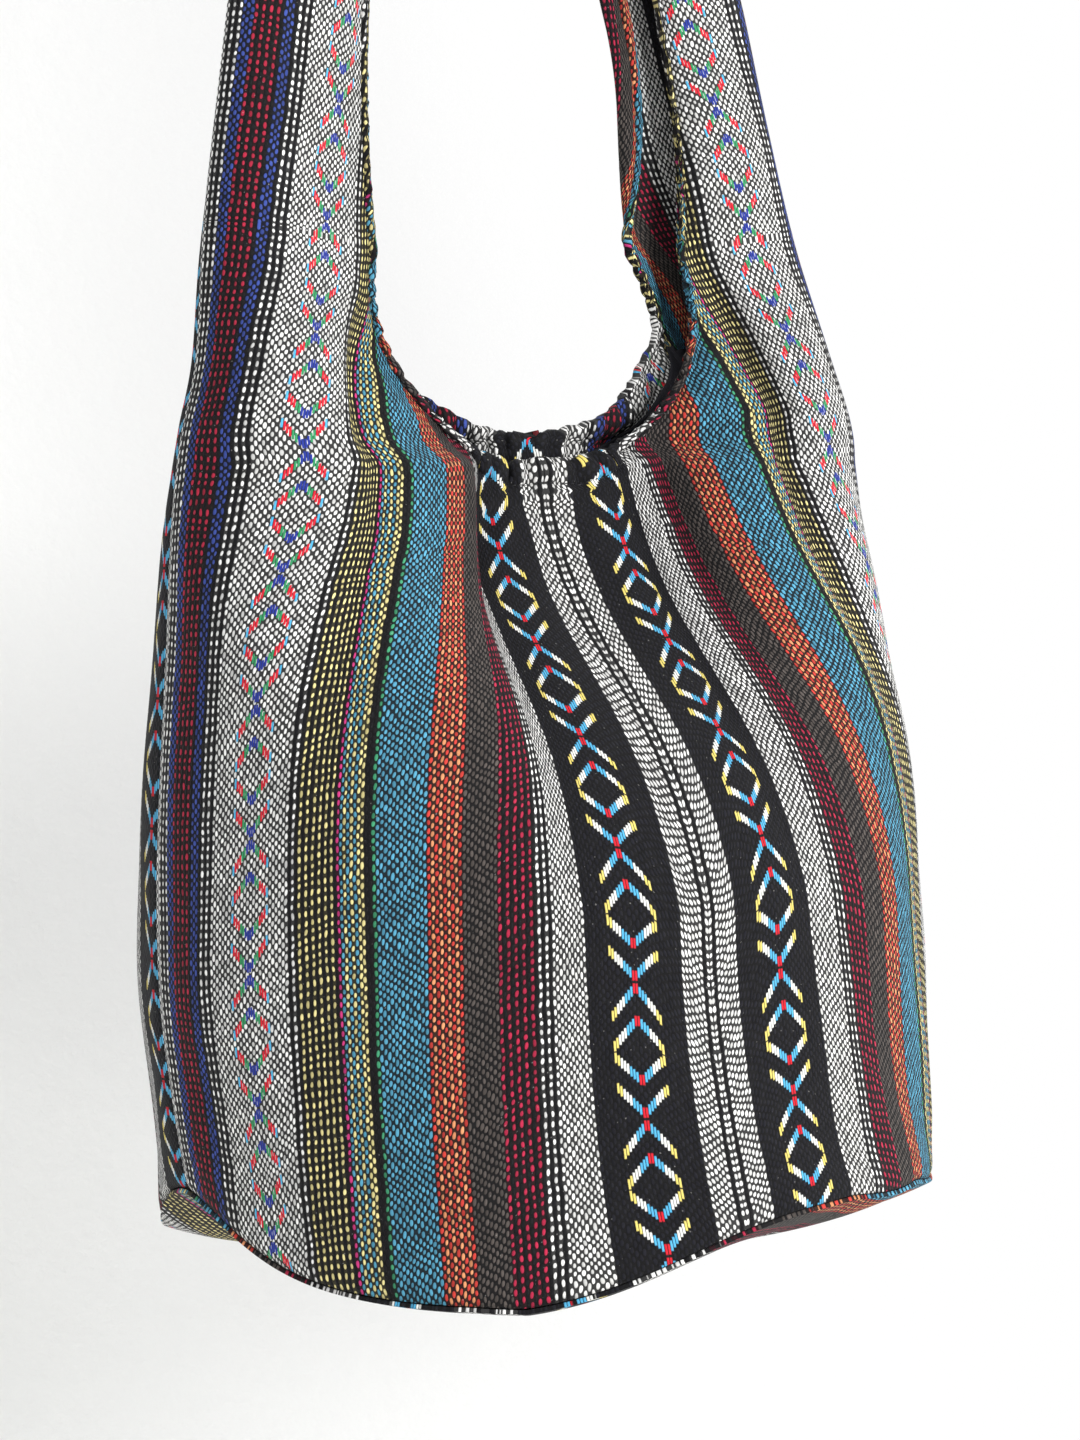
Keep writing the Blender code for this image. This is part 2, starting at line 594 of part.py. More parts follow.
BASE_DROP = CLOTH / 2 + 0.0007
base_surface("base_panel", weave_base, 0.0, -BASE_DROP, CLOTH, (1, 0.96, 0.88, 0.72, 0.5, 0.25))
LINING_BASE_LIFT = -BASE_DROP + CLOTH / 2 + LAYER_GAP + LINING / 2
base_surface("lining_base", plain_lining, 0.0022, LINING_BASE_LIFT + 0.0006, LINING,
             (1, 0.96, 0.86, 0.66, 0.36))


def turned(name, profile, mat, origin, facing, segments=20):
    """Round piece about the Y axis; profile is (radius, distance from its back plate)."""
    profile = np.array(profile)
    mesh = bpy.data.meshes.new(name)
    vertices = [(r, facing * y, 0.0) for r, y in profile]
    edges = [(i, i + 1) for i in range(len(profile) - 1)]
    mesh.from_pydata(vertices, edges, [])
    obj = bpy.data.objects.new(name, mesh)
    bpy.context.scene.collection.objects.link(obj)
    obj.data.materials.append(mat)
    obj.location = origin
    screw = obj.modifiers.new("Turn", "SCREW")
    screw.axis = "Y"
    screw.steps = screw.render_steps = segments
    screw.use_merge_vertices = True
    screw.merge_threshold = 0.00001
    screw.use_smooth_shade = True
    screw.use_normal_calculate = True
    return obj


# Press snap between the two hems, closed: its halves lie face to face
snap_v = MOUTH - SNAP_BELOW_EDGE
spread = np.linspace(-SNAP_RADIUS, SNAP_RADIUS, 7)
snap_front = cloth_point(FRONT, spread[:, None], snap_v + spread[None])
snap_back = cloth_point(BACK, spread[:, None], snap_v + spread[None])
centre = snap_front[3, 3]
front_face = snap_front[..., 1].max() + HEM_ROLL / 2 + SEAM_GAP
back_face = snap_back[..., 1].min() - LINING_DEPTH - LINING / 2 - SEAM_GAP
room = back_face - front_face
plate = (room - SEAM_GAP) / 2
bore = STUD_RADIUS + SEAM_GAP
round_off = 0.0004
nub = min(STUD_LENGTH, plate - SNAP_PLATE)
turned("snap_socket", [
    (0.0, 0.0), (SNAP_RADIUS - round_off, 0.0), (SNAP_RADIUS, round_off),
    (SNAP_RADIUS, SNAP_PLATE), (SNAP_RADIUS * 0.62, plate), (bore, plate),
    (bore, plate - nub - SEAM_GAP), (0.0, plate - nub - SEAM_GAP)],
    snap_metal, (centre[0], front_face, centre[2]), 1)
turned("snap_stud", [
    (0.0, 0.0), (SNAP_RADIUS - round_off, 0.0), (SNAP_RADIUS, round_off),
    (SNAP_RADIUS, SNAP_PLATE), (SNAP_RADIUS * 0.62, plate), (STUD_RADIUS, plate),
    (STUD_RADIUS * 0.85, plate + nub), (0.0, plate + nub)],
    snap_metal, (centre[0], back_face, centre[2]), -1)
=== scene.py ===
"""Looks of the woven crossbody bag: fine cloth surfaces, their weave, the wall and the light.

The cloth shapes follow the same rules as the solids of the part, at a finer step, so each
fine piece lies where the solid it stands for lies. Metres, +Z up, front towards -Y.
"""

import math

import bpy
import numpy as np
from mathutils import Matrix, Vector, kdtree


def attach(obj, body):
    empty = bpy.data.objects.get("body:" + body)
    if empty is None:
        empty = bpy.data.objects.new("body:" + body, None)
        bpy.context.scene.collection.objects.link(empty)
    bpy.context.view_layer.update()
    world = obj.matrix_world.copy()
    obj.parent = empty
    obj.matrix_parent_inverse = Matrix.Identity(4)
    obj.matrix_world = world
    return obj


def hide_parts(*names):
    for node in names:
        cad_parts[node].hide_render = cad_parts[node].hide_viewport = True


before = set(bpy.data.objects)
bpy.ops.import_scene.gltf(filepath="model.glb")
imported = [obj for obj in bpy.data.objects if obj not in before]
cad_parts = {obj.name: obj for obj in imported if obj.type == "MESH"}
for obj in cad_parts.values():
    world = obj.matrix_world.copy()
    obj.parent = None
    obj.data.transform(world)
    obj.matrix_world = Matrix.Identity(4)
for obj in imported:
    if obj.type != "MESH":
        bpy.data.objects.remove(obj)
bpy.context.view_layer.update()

# Sizes of the bag, the same as those of the solids
BODY_HEIGHT = 0.321
STRAP_DROP = 0.600
BASE_HALF_WIDTH = 0.156
BODY_HALF_WIDTH = 0.164
MOUTH_HALF_WIDTH = 0.152
STRAP_HALF_SPAN = 0.085
FRONT_CLOTH = 0.247
BACK_CLOTH = 0.247
STRAP_CLOTH = 0.073
MOUTH_CUT_DEPTH = 0.300
BACK_MOUTH_RISE = 0.012
SIDE_LIFT = 0.030
FRONT_LIFT = 0.036
BASE_TILT = -0.002
TWIST = 0.002
SEAM_BEHIND = 0.004
STRAP_TURN = 0.017
MOUTH_DRAW = 0.009
MOUTH_SHIFT = 0.012
CORNER_LIFT = 0.034
FRONT_HUMP = 0.018
STRAP_LEAN = 0.080
BASE_BULGE = 0.006
BASE_SAG = 0.003
CLOTH = 0.0016
HEM_WIDTH = 0.011
LINING = 0.0008
SEAM_GAP = 0.0003
LAYER_GAP = 0.0004
POCKET_HALF_WIDTH = 0.060
POCKET_BOTTOM = 0.090
POCKET_TOP = 0.215
POCKET_GAP = 0.0009

# Mesh steps of the fine surfaces
ROW_STEP = 0.0034
STRAP_STEP = 0.0034
COLUMNS = 62
SEAM_EDGE = 0.0012

FRONT, BACK = 1, -1


def smooth(t):
    t = np.clip(t, 0.0, 1.0)
    return t * t * (3.0 - 2.0 * t)


def through(points, x):
    """Curve without overshoot through given (place, value) pairs."""
    xs, ys = np.array(points, float).T
    step = np.diff(xs)
    slope = np.diff(ys) / step
    m = np.zeros_like(ys)
    same = slope[:-1] * slope[1:] > 0
    m[1:-1] = np.where(same, 2 * slope[:-1] * slope[1:] / (slope[:-1] + slope[1:] + 1e-30), 0)
    m[0], m[-1] = slope[0], slope[-1]
    x = np.clip(x, xs[0], xs[-1])
    i = np.clip(np.searchsorted(xs, x) - 1, 0, len(xs) - 2)
    t = (x - xs[i]) / step[i]
    return ((2 * t**3 - 3 * t**2 + 1) * ys[i] + (t**3 - 2 * t**2 + t) * step[i] * m[i]
            + (-2 * t**3 + 3 * t**2) * ys[i + 1] + (t**3 - t**2) * step[i] * m[i + 1])


def rounded_path(points, per=24):
    """Smooth line through points given as (x, z), mirrored at its last point."""
    p = np.array(points, float)
    p = np.vstack([2 * p[0] - p[1], p, [-p[-2][0], p[-2][1]]])
    out = []
    for a, b, c, d in zip(p[:-3], p[1:-2], p[2:-1], p[3:]):
        for t in np.linspace(0, 1, per, endpoint=False):
            out.append(0.5 * (2 * b + (c - a) * t + (2 * a - 5 * b + 4 * c - d) * t**2
                              + (-a + 3 * b - 3 * c + d) * t**3))
    out.append(p[-2])
    out.append(np.array([-out[-2][0], out[-2][1]]))
    return np.array(out)


UP = BODY_HEIGHT
SIDE_LINE = rounded_path([
    (BASE_HALF_WIDTH, 0.0), (BODY_HALF_WIDTH - 0.004, 0.15 * UP), (BODY_HALF_WIDTH, 0.33 * UP),
    (BODY_HALF_WIDTH - 0.001, 0.54 * UP), (BODY_HALF_WIDTH - 0.007, 0.78 * UP),
    (MOUTH_HALF_WIDTH, UP), (MOUTH_HALF_WIDTH - 0.010, UP + 0.07 * STRAP_DROP),
    (MOUTH_HALF_WIDTH - 0.019, UP + 0.153 * STRAP_DROP),
    (STRAP_HALF_SPAN + 0.028, UP + 0.32 * STRAP_DROP),
    (STRAP_HALF_SPAN + 0.010, UP + 0.487 * STRAP_DROP),
    (STRAP_HALF_SPAN, UP + 0.653 * STRAP_DROP), (STRAP_HALF_SPAN - 0.009, UP + 0.82 * STRAP_DROP),
    (STRAP_HALF_SPAN - 0.023, UP + 0.937 * STRAP_DROP),
    (STRAP_HALF_SPAN - 0.049, UP + 0.988 * STRAP_DROP), (0.0, UP + STRAP_DROP)])
ALONG = np.concatenate([[0], np.cumsum(np.linalg.norm(np.diff(SIDE_LINE, axis=0), axis=1))])
LOOP_TOP = ALONG[-2]
MOUTH = np.interp(UP, SIDE_LINE[:200, 1], ALONG[:200])


def side_at(v):
    """Place (x, z) and direction of the side line at cloth height v."""
    here, ahead, behind = ([np.interp(v + d, ALONG, SIDE_LINE[:, k]) for k in (0, 1)]
                           for d in (0, 0.0015, -0.0015))
    t = np.subtract(ahead, behind)
    return here[0], here[1], t / np.hypot(*t)


def cloth_of(face):
    return FRONT_CLOTH if face == FRONT else BACK_CLOTH


def mouth_of(face):
    return MOUTH if face == FRONT else MOUTH + BACK_MOUTH_RISE


def mouth_cut(face, v):
    """Half width cut away by the mouth at cloth height v."""
    t = np.clip((np.asarray(v, float) - mouth_of(face)) / MOUTH_CUT_DEPTH, 0, 1)
    return (cloth_of(face) - STRAP_CLOTH) * (1 - (1 - t)**2)**(1 / 2.2)


def hem_reach(face, h, x):
    """How far in from the side line the hem hangs, h above the mouth."""
    strap = [(0.3 * MOUTH_CUT_DEPTH, 0.071), (0.62 * MOUTH_CUT_DEPTH, 0.0586),
             (0.35, 0.052), (0.50, 0.044), (0.64, 0.022)]
    if h >= strap[0][0]:
        return through(strap, h)
    low = strap[0][0]
    x_low = side_at(mouth_of(face) + low)[0]
    at_low = (x_low - strap[0][1]) / mouth_cut(face, mouth_of(face) + low)
    gather = through([(0, 0.86), (0.5 * low, 0.70), (low, at_low)], h)
    return x - gather * mouth_cut(face, mouth_of(face) + h)


def evened(curve, count=129):
    """The curve at even steps along its length, and that length."""
    s = np.concatenate([[0], np.cumsum(np.linalg.norm(np.diff(curve, axis=0), axis=1))])
    g = np.linspace(0, s[-1], count)
    return np.stack([np.interp(g, s, curve[:, 0]), np.interp(g, s, curve[:, 1])], 1), s[-1]


SWEEP = np.linspace(0, 1, 97)


def bowl(face, half_width, depth):
    """Quarter of the body's section from the side line to the centre, pointed in front."""
    a = SWEEP * np.pi / 2
    power = 1.20 if face == FRONT else 1.0
    return np.stack([half_width * (1 - np.cos(a)**0.93), depth * np.sin(a)**power], 1)


def bowl_depth(face, v, half_width):
    """Depth at which the quarter section takes up all the cloth but the gathers."""
    gathered = through([(0, 0), (0.05, 0.03), (0.12, 0.045), (0.2, 0.06), (MOUTH, 0.16)],
                       min(v, MOUTH))
    length = cloth_of(face) * (1 - gathered)
    low, high = 0.02, 0.25
    for _ in range(18):
        mid = (low + high) / 2
        low, high = (mid, high) if evened(bowl(face, half_width, mid))[1] < length else (low, mid)
    return mid


def section(face, v):
    """Quarter section at height v: a bowl low down, the strap's folded lobe higher up."""
    x, z, direction = side_at(v)
    h = v - mouth_of(face)
    m = np.clip((v - 0.150) / (MOUTH - 0.150), 0, 1)
    m = m - 0.08 * np.sin(2 * np.pi * m)
    reach = x if h <= 0 else hem_reach(face, h, x)
    lobe = through([(-0.34, 0.12), (-0.12, 0.080), (0, 0.041), (0.05, 0.027), (0.09, 0.018),
                    (0.186, 0.0125), (0.42, 0.013), (0.54, 0.028), (0.64, 0.048)], h)
    lobe *= 1.0 if face == FRONT else 0.9
    gap = through([(-0.2, 0.03), (-0.05, 0.006), (0, 0.004), (0.02, 0.012), (0.05, 0.014),
                   (0.1, 0.008), (0.186, 0.004), (0.42, 0.006), (0.54, 0.016), (0.64, 0.044)], h)
    swell = 0.36
    across = SWEEP**1.6
    rising = np.sqrt(1 - (1 - np.clip(across / swell, 0, 1))**2)
    falling = (1 + np.cos(np.pi * np.clip((across - swell) / (1 - swell), 0, 1))) / 2
    shape = np.where(across < swell, lobe * rising, gap + (lobe - gap) * falling)
    folded = evened(np.stack([reach * across, shape], 1))[0]
    if m >= 1:
        return evened(folded)
    open_bowl = evened(bowl(face, x, bowl_depth(face, v, x)))[0]
    open_bowl[:, 0] *= reach / x
    return evened((1 - m) * open_bowl + m * folded)


# Soft folds that take up the gathered cloth: (cloth distance from the centre line, share)
FOLDS = {(FRONT, 1): [(0.045, 0.35), (0.078, 0.35), (0.155, 0.3)],
         (FRONT, -1): [(0.056, 0.8), (0.152, 0.2)],
         (BACK, 1): [(0.120, 1.0)], (BACK, -1): [(0.120, 1.0)]}


def take_up(face, side, end, length):
    """Arc position and inward dip along the quarter for cloth distances 0 to end."""
    w = np.linspace(0, end, 321)
    spare = end - length
    squeeze = np.zeros_like(w)
    for centre, share in FOLDS[face, side]:
        half = min(abs(spare * share) * 0.9 + 0.012, 0.040)
        at = min(cloth_of(face) - centre, end - 0.35 * half)
        bump = np.where(abs(w - at) < half, np.cos((w - at) / half * np.pi / 2)**2, 0)
        area = float(((bump[1:] + bump[:-1]) / 2 * np.diff(w)).sum())
        squeeze += np.clip(spare * share * 0.9 / max(area, 1e-6), -0.3, 0.93) * bump
    rate = 1 - np.clip(squeeze, -0.3, 0.95)
    steps = (rate[1:] + rate[:-1]) / 2
    s = np.concatenate([[0], np.cumsum(steps)])
    s *= length / s[-1]
    dip = np.clip(squeeze, 0, 0.95) / 0.95 * np.clip(spare, 0, 0.05) * 0.35
    return s, dip


def closed_outline(front, back):
    """The strap's outline round both its halves: arc positions and (n, y) points.

    Position 0 is the side line; it grows over the front to the inner edge and falls over
    the back. A small arc between the two hems closes the loop at the inner edge.
    """
    tip_front, tip_back = front[-1], back[-1] * (1, -1)
    t = np.linspace(0, 1, 11)[1:-1, None]
    reach = abs(tip_front[1] - tip_back[1]) / 2
    arc = tip_front + (tip_back - tip_front) * t
    arc[:, :1] += reach * np.sin(np.pi * t)
    outline = np.concatenate([back[::-1] * (1, -1), front[1:], arc, tip_back[None]])
    steps = np.linalg.norm(np.diff(outline, axis=0), axis=1)
    places = np.concatenate([[0], np.cumsum(steps)])
    return places - places[len(back) - 1], outline


def hung(face, side, v, q, loops):
    """Points in space of the quarter at height v, q from 0 at the side seam to 1."""
    x, z, (tx, tz) = side_at(v)
    end = cloth_of(face) - float(mouth_cut(face, v))
    behind = SEAM_BEHIND * through([(0, 0.5), (0.06, 1), (LOOP_TOP - 0.08, 1), (LOOP_TOP, 0)], v)
    s, dip = take_up(face, side, end, loops[face][1] + face * behind)
    at = q * (len(s) - 1)
    s, dip = np.interp(at, np.arange(len(s)), s), np.interp(at, np.arange(len(dip)), dip)
    c = cloth_of(face) - q * end
    # The right half of the body's cloth, and the strap above it, are turned round a little
    held = smooth((side * c + 0.16) / 0.12) if face == FRONT else side * smooth(c / 0.2) * (side > 0)
    drift = side * TWIST * held * (1 - smooth((v - 0.17) / 0.075))
    turn = (STRAP_TURN * smooth((v - MOUTH) / 0.15)
            * (1 - smooth((v - LOOP_TOP + 0.20) / 0.17))) if side > 0 else 0.0
    s = face * s - behind + drift - turn
    side = np.full_like(s, side)
    front, back = loops[FRONT][0], loops[BACK][0]
    places, outline = closed_outline(front, back)
    if v < MOUTH:
        for f in (FRONT, BACK):
            over = f * s > loops[f][1] + 1e-9
            side, s = np.where(over, -side, side), np.where(over, f * 2 * loops[f][1] - s, s)
    else:
        s = np.where(s < places[0], s + places[-1] - places[0], s)

    def spot(p):
        return np.interp(p, places, outline[:, 0]), np.interp(p, places, outline[:, 1])

    n, y = spot(s)
    n_ahead, y_ahead = spot(s + 0.004)
    n_behind, y_behind = spot(s - 0.004)
    dn, dy = n_ahead - n_behind, y_ahead - y_behind
    length = np.hypot(dn, dy) + 1e-12
    dip = np.minimum(dip, 0.45 * abs(y))
    n, y = n + dy / length * dip, y - dn / length * dip
    k = smooth((v - MOUTH - 0.02) / 0.15)
    inward = np.array([1 - k + k * tz, k * tx])
    inward /= np.hypot(*inward)
    px, pz = side * (x - n * inward[0]), z + n * inward[1]
    drawn = MOUTH_DRAW * np.exp(-((v - MOUTH + 0.02) / 0.13)**2)
    px -= drawn * np.clip(px / BODY_HALF_WIDTH, 0, 1)
    between = np.sin(np.pi * np.clip(abs(px) / (0.97 * BODY_HALF_WIDTH), 0, 1))
    share = np.where(px > 0, 0.4, 1.0)
    px += MOUTH_SHIFT * share * between * np.exp(-((v - MOUTH - 0.01) / 0.055)**2)
    low = max(1 - v / 0.20, 0)**1.6
    out = np.clip(abs(px) / BODY_HALF_WIDTH, 0, 1)
    lift = np.where(px > 0, 1.0, 0.65) * SIDE_LIFT * out**2.6
    corner = np.clip(abs(px) / BASE_HALF_WIDTH, 0, 1)
    lift += np.where(px > 0, 1.0, 0.75) * CORNER_LIFT * corner**16
    lift += FRONT_LIFT * np.clip(y / 0.125, 0, 1)**1.5 * np.clip((px + 0.12) / 0.2, 0.2, 0.85)
    lift += FRONT_HUMP * np.clip(y / 0.1, 0, 1) * np.exp(-((px - 0.010) / 0.07)**2)
    lift += BASE_TILT * px / BODY_HALF_WIDTH
    lean = STRAP_LEAN * through([(MOUTH, 0), (MOUTH + 0.19, 0.27), (LOOP_TOP, 1)], v)
    return np.stack([px, lean - STRAP_LEAN - y, pz + low * lift - UP - STRAP_DROP], 1)


# The levels crowd just above each mouth, where its cut widens fastest
near = 0.0002 * 1.45**np.arange(11)
LEVELS = np.unique(np.round(np.concatenate([
    np.linspace(0, MOUTH, 91), np.linspace(MOUTH + 0.01, LOOP_TOP, 171),
    MOUTH + near, MOUTH + BACK_MOUTH_RISE + near]), 7))
SHARES = np.linspace(0, 1, 241)


def make_table():
    table = {(face, side): [] for face in (FRONT, BACK) for side in (1, -1)}
    for v in LEVELS:
        loops = {f: section(f, v) for f in (FRONT, BACK)}
        for face, side in table:
            table[face, side].append(hung(face, side, v, SHARES, loops))
    return {key: np.array(rows) for key, rows in table.items()}


TABLE = make_table()


def cloth_point(face, c, v):
    """Point in space of the cloth c from the centre line of a face, at height v."""
    c, v = np.broadcast_arrays(np.asarray(c, float), np.asarray(v, float))
    v = np.clip(v, 0, LOOP_TOP)
    q = (cloth_of(face) - abs(c)) / (cloth_of(face) - mouth_cut(face, v))
    q = np.clip(q, 0, 1) * (len(SHARES) - 1)
    j = np.clip(q.astype(int), 0, len(SHARES) - 2)
    k = np.clip(np.searchsorted(LEVELS, v, side="right") - 1, 0, len(LEVELS) - 2)
    a = ((v - LEVELS[k]) / (LEVELS[k + 1] - LEVELS[k]))[..., None]
    b = (q - j)[..., None]
    out = np.zeros(c.shape + (3,))
    for side in (1, -1):
        t = TABLE[face, side]
        p = ((1 - a) * ((1 - b) * t[k, j] + b * t[k, j + 1])
             + a * ((1 - b) * t[k + 1, j] + b * t[k + 1, j + 1]))
        mine = (c >= 0) if side == 1 else (c < 0)
        out[mine] = p[mine]
    return out


def hem_line(face):
    """The hem as cloth points (c, v), from the centre up to the loop's top."""
    h = np.concatenate([[0], np.geomspace(1e-5, 0.02, 80), np.linspace(0.021, 1.2, 900)])
    v = mouth_of(face) + h
    v = v[v < LOOP_TOP]
    line = np.stack([mouth_cut(face, v), v], 1)
    s = np.concatenate([[0], np.cumsum(np.linalg.norm(np.diff(line, axis=0), axis=1))])
    return line, s


HEM_LINES = {face: hem_line(face) for face in (FRONT, BACK)}


def hem_nearest(face, c, v):
    """Distance from the hem, and distance along it, of cloth points."""
    line, s = HEM_LINES[face]
    points = np.stack([abs(np.asarray(c)).ravel(), np.asarray(v).ravel()], 1)
    d, along = np.empty(len(points)), np.empty(len(points))
    for k in range(0, len(points), 4000):
        gap = np.linalg.norm(points[k:k + 4000, None] - line[None], axis=2)
        best = gap.argmin(axis=1)
        d[k:k + 4000] = gap[np.arange(len(best)), best]
        along[k:k + 4000] = s[best]
    return d, along


def hem_frame(face, stations):
    """Hem points at distances along it, with the unit vector into the cloth."""
    line, s = HEM_LINES[face]
    stations = np.asarray(stations)
    p, q, r = (np.stack([np.interp(stations + d, s, line[:, k]) for k in (0, 1)], 1)
               for d in (0, 0.002, -0.002))
    r[0] = p[0] - (q[0] - p[0]) * (1, -1)
    t = q - r
    t /= np.linalg.norm(t, axis=1, keepdims=True)
    return p, np.stack([t[:, 1], -t[:, 0]], 1)


TURN_END = 0.10
BELOW = 0.060
HEM_DEPTHS = np.array([0, 0.0009, 0.0019, 0.0030, 0.0043, 0.0056, 0.0068, 0.0078, 0.0086,
                       0.0094, 0.0104, 0.0117, 0.0130])


def panel_layout(face):
    """Half-panel grids of cloth points (c, v): the hem band and the field beside it."""
    line, s = HEM_LINES[face]
    last = LOOP_TOP - SEAM_GAP / 2
    turn = np.interp(mouth_of(face) + TURN_END, line[:, 1], s)
    top = np.interp(last, line[:, 1], s)
    lower = np.linspace(0, turn, int(round(turn / 0.0026)) + 1)
    upper = np.linspace(turn, top, int(round((top - turn) / STRAP_STEP)) + 1)[1:]
    stations = np.concatenate([lower, upper])
    edge, inward = hem_frame(face, stations)
    edge[-1, 1] = last
    strips = edge[:, None] + HEM_DEPTHS[None, :, None] * inward[:, None]
    strips[0, :, 0] = 0.0
    strips[-1, :, 1] = last
    inner = strips[:, -1]
    seam_c = cloth_of(face) - SEAM_GAP / 2
    outer_v = np.where(stations < turn, mouth_of(face) - BELOW
                       + stations / turn * (TURN_END + BELOW), inner[:, 1])
    rows = int(round(inner[0, 1] / ROW_STEP))
    grade = np.linspace(0, 1, rows + 1)[:-1]
    starts = np.concatenate([np.stack([np.zeros(rows), grade * inner[0, 1]], 1), inner])
    ends = np.concatenate([grade * outer_v[0], outer_v])
    before_edge = 1 - SEAM_EDGE / (seam_c - starts[:, :1])
    g = np.concatenate([before_edge * np.linspace(0, 1, COLUMNS + 1), np.ones((len(starts), 1))], 1)
    field = np.stack([starts[:, :1] + (seam_c - starts[:, :1]) * g,
                      starts[:, 1:] + (ends[:, None] - starts[:, 1:]) * g], 2)
    return [strips, field]


def joined(face, halves):
    """One sheet from {side: grids of (c, v)}: its cloth points and outward quads."""
    index, points, quads = {}, [], []
    for side, grids in halves.items():
        for grid in grids:
            ids = []
            for row in grid * (side, 1):
                keys = [(round(p[0] * 2e6), round(p[1] * 2e6)) for p in row]
                for key, p in zip(keys, row):
                    if key not in index:
                        index[key] = len(points)
                        points.append(p)
                ids.append([index[key] for key in keys])
            for a, b in zip(ids[:-1], ids[1:]):
                for k in range(len(a) - 1):
                    quad = (a[k], a[k + 1], b[k + 1], b[k])
                    quads.append(quad if side * face == 1 else quad[::-1])
    return np.array(points), quads


def point_normals(places, quads):
    """Outward normals at the points of a sheet."""
    q = np.array(quads)
    across = np.cross(places[q[:, 2]] - places[q[:, 0]], places[q[:, 3]] - places[q[:, 1]])
    out = np.zeros_like(places)
    for k in range(4):
        np.add.at(out, q[:, k], across)
    return out / (np.linalg.norm(out, axis=1, keepdims=True) + 1e-15)


def evened_out(places, quads, rounds, share=0.5):
    """Places smoothed over the sheet's inner points; points on its rim stay."""
    q = np.array(quads)
    pairs = np.concatenate([q[:, [0, 1]], q[:, [1, 2]], q[:, [2, 3]], q[:, [3, 0]]])
    pairs = np.sort(pairs, axis=1)
    pairs, count = np.unique(pairs, axis=0, return_counts=True)
    rim = np.zeros(len(places), bool)
    rim[pairs[count == 1].ravel()] = True
    degree = np.zeros(len(places))
    np.add.at(degree, pairs[:, 0], 1)
    np.add.at(degree, pairs[:, 1], 1)
    for _ in range(rounds):
        total = np.zeros_like(places)
        np.add.at(total, pairs[:, 0], places[pairs[:, 1]])
        np.add.at(total, pairs[:, 1], places[pairs[:, 0]])
        moved = (1 - share) * places + share * total / degree[:, None]
        places = np.where(rim[:, None], places, moved)
    return places


# Node materials


class Graph:
    """Short ways to add nodes to one material."""

    def __init__(self, name):
        self.mat = bpy.data.materials.new(name)
        self.mat.use_nodes = True
        self.tree = self.mat.node_tree
        self.shader = self.tree.nodes["Principled BSDF"]

    def node(self, kind, inputs=(), **settings):
        made = self.tree.nodes.new(kind)
        for key, value in settings.items():
            setattr(made, key, value)
        for key, value in dict(inputs).items():
            self.put(made.inputs[key], value)
        return made

    def put(self, socket, value):
        if isinstance(value, bpy.types.NodeSocket):
            self.tree.links.new(value, socket)
        elif isinstance(value, tuple) and len(value) == 3 and socket.type == "RGBA":
            socket.default_value = (*value, 1.0)
        else:
            socket.default_value = value

    def math(self, operation, a, b=None, c=None, clamp=False):
        made = self.node("ShaderNodeMath", operation=operation, use_clamp=clamp)
        for socket, value in zip(made.inputs, (a, b, c)):
            if value is not None:
                self.put(socket, value)
        return made.outputs[0]

    def step(self, value, low, high, to_low=0.0, to_high=1.0):
        made = self.node("ShaderNodeMapRange", interpolation_type="SMOOTHSTEP")
        for key, x in (("Value", value), ("From Min", low), ("From Max", high),
                       ("To Min", to_low), ("To Max", to_high)):
            self.put(made.inputs[key], x)
        return made.outputs["Result"]

    def mix(self, factor, a, b, blend="MIX"):
        made = self.node("ShaderNodeMix", data_type="RGBA", blend_type=blend)
        for k, value in ((0, factor), (6, a), (7, b)):
            self.put(made.inputs[k], value)
        return made.outputs[2]

    def toned(self, colour, tone):
        """The colour made darker or brighter by the factor tone."""
        grey = self.node("ShaderNodeCombineColor", {k: tone for k in (0, 1, 2)}).outputs[0]
        return self.mix(1.0, colour, grey, "MULTIPLY")

    def vector(self, x, y, z=0.0):
        return self.node("ShaderNodeCombineXYZ", {0: x, 1: y, 2: z}).outputs[0]

    def noise(self, vector, scale, detail=2.0, roughness=0.5):
        made = self.node("ShaderNodeTexNoise", {"Vector": vector, "Scale": scale,
                                                "Detail": detail, "Roughness": roughness})
        return made.outputs["Fac"]

    def grain(self, x, y, seed=0.0):
        """An even random number for each pair of whole numbers."""
        made = self.node("ShaderNodeTexWhiteNoise", {"Vector": self.vector(x, y, seed)},
                         noise_dimensions="3D")
        return made.outputs["Value"]

    def steps(self, place, stops):
        """Colour that changes at each (place, colour) and stays the same between."""
        made = self.node("ShaderNodeValToRGB", {"Fac": place})
        ramp = made.color_ramp
        ramp.interpolation = "CONSTANT"
        while len(ramp.elements) > 1:
            ramp.elements.remove(ramp.elements[-1])
        ramp.elements[0].position, ramp.elements[0].color = stops[0][0], (*stops[0][1], 1)
        for position, colour in stops[1:]:
            ramp.elements.new(position).color = (*colour, 1)
        return made.outputs["Color"]


def rgb(r, g, b):
    """Linear colour from the usual 0 to 255 values."""
    return tuple(x / 12.92 if x <= 0.04045 else ((x + 0.055) / 1.055)**2.4
                 for x in (r / 255, g / 255, b / 255))


BLACK, WHITE = rgb(20, 19, 22), rgb(236, 235, 232)
WINE, RUST, STRAW = rgb(176, 40, 70), rgb(200, 62, 54), rgb(226, 150, 104)
CHARCOAL, SKY, OCHRE = rgb(84, 77, 73), rgb(86, 158, 188), rgb(232, 218, 150)
MAGENTA, ROYAL, RUBY = rgb(212, 60, 130), rgb(58, 76, 150), rgb(168, 38, 62)
LEAF, NIGHT = rgb(64, 150, 108), rgb(24, 24, 31)

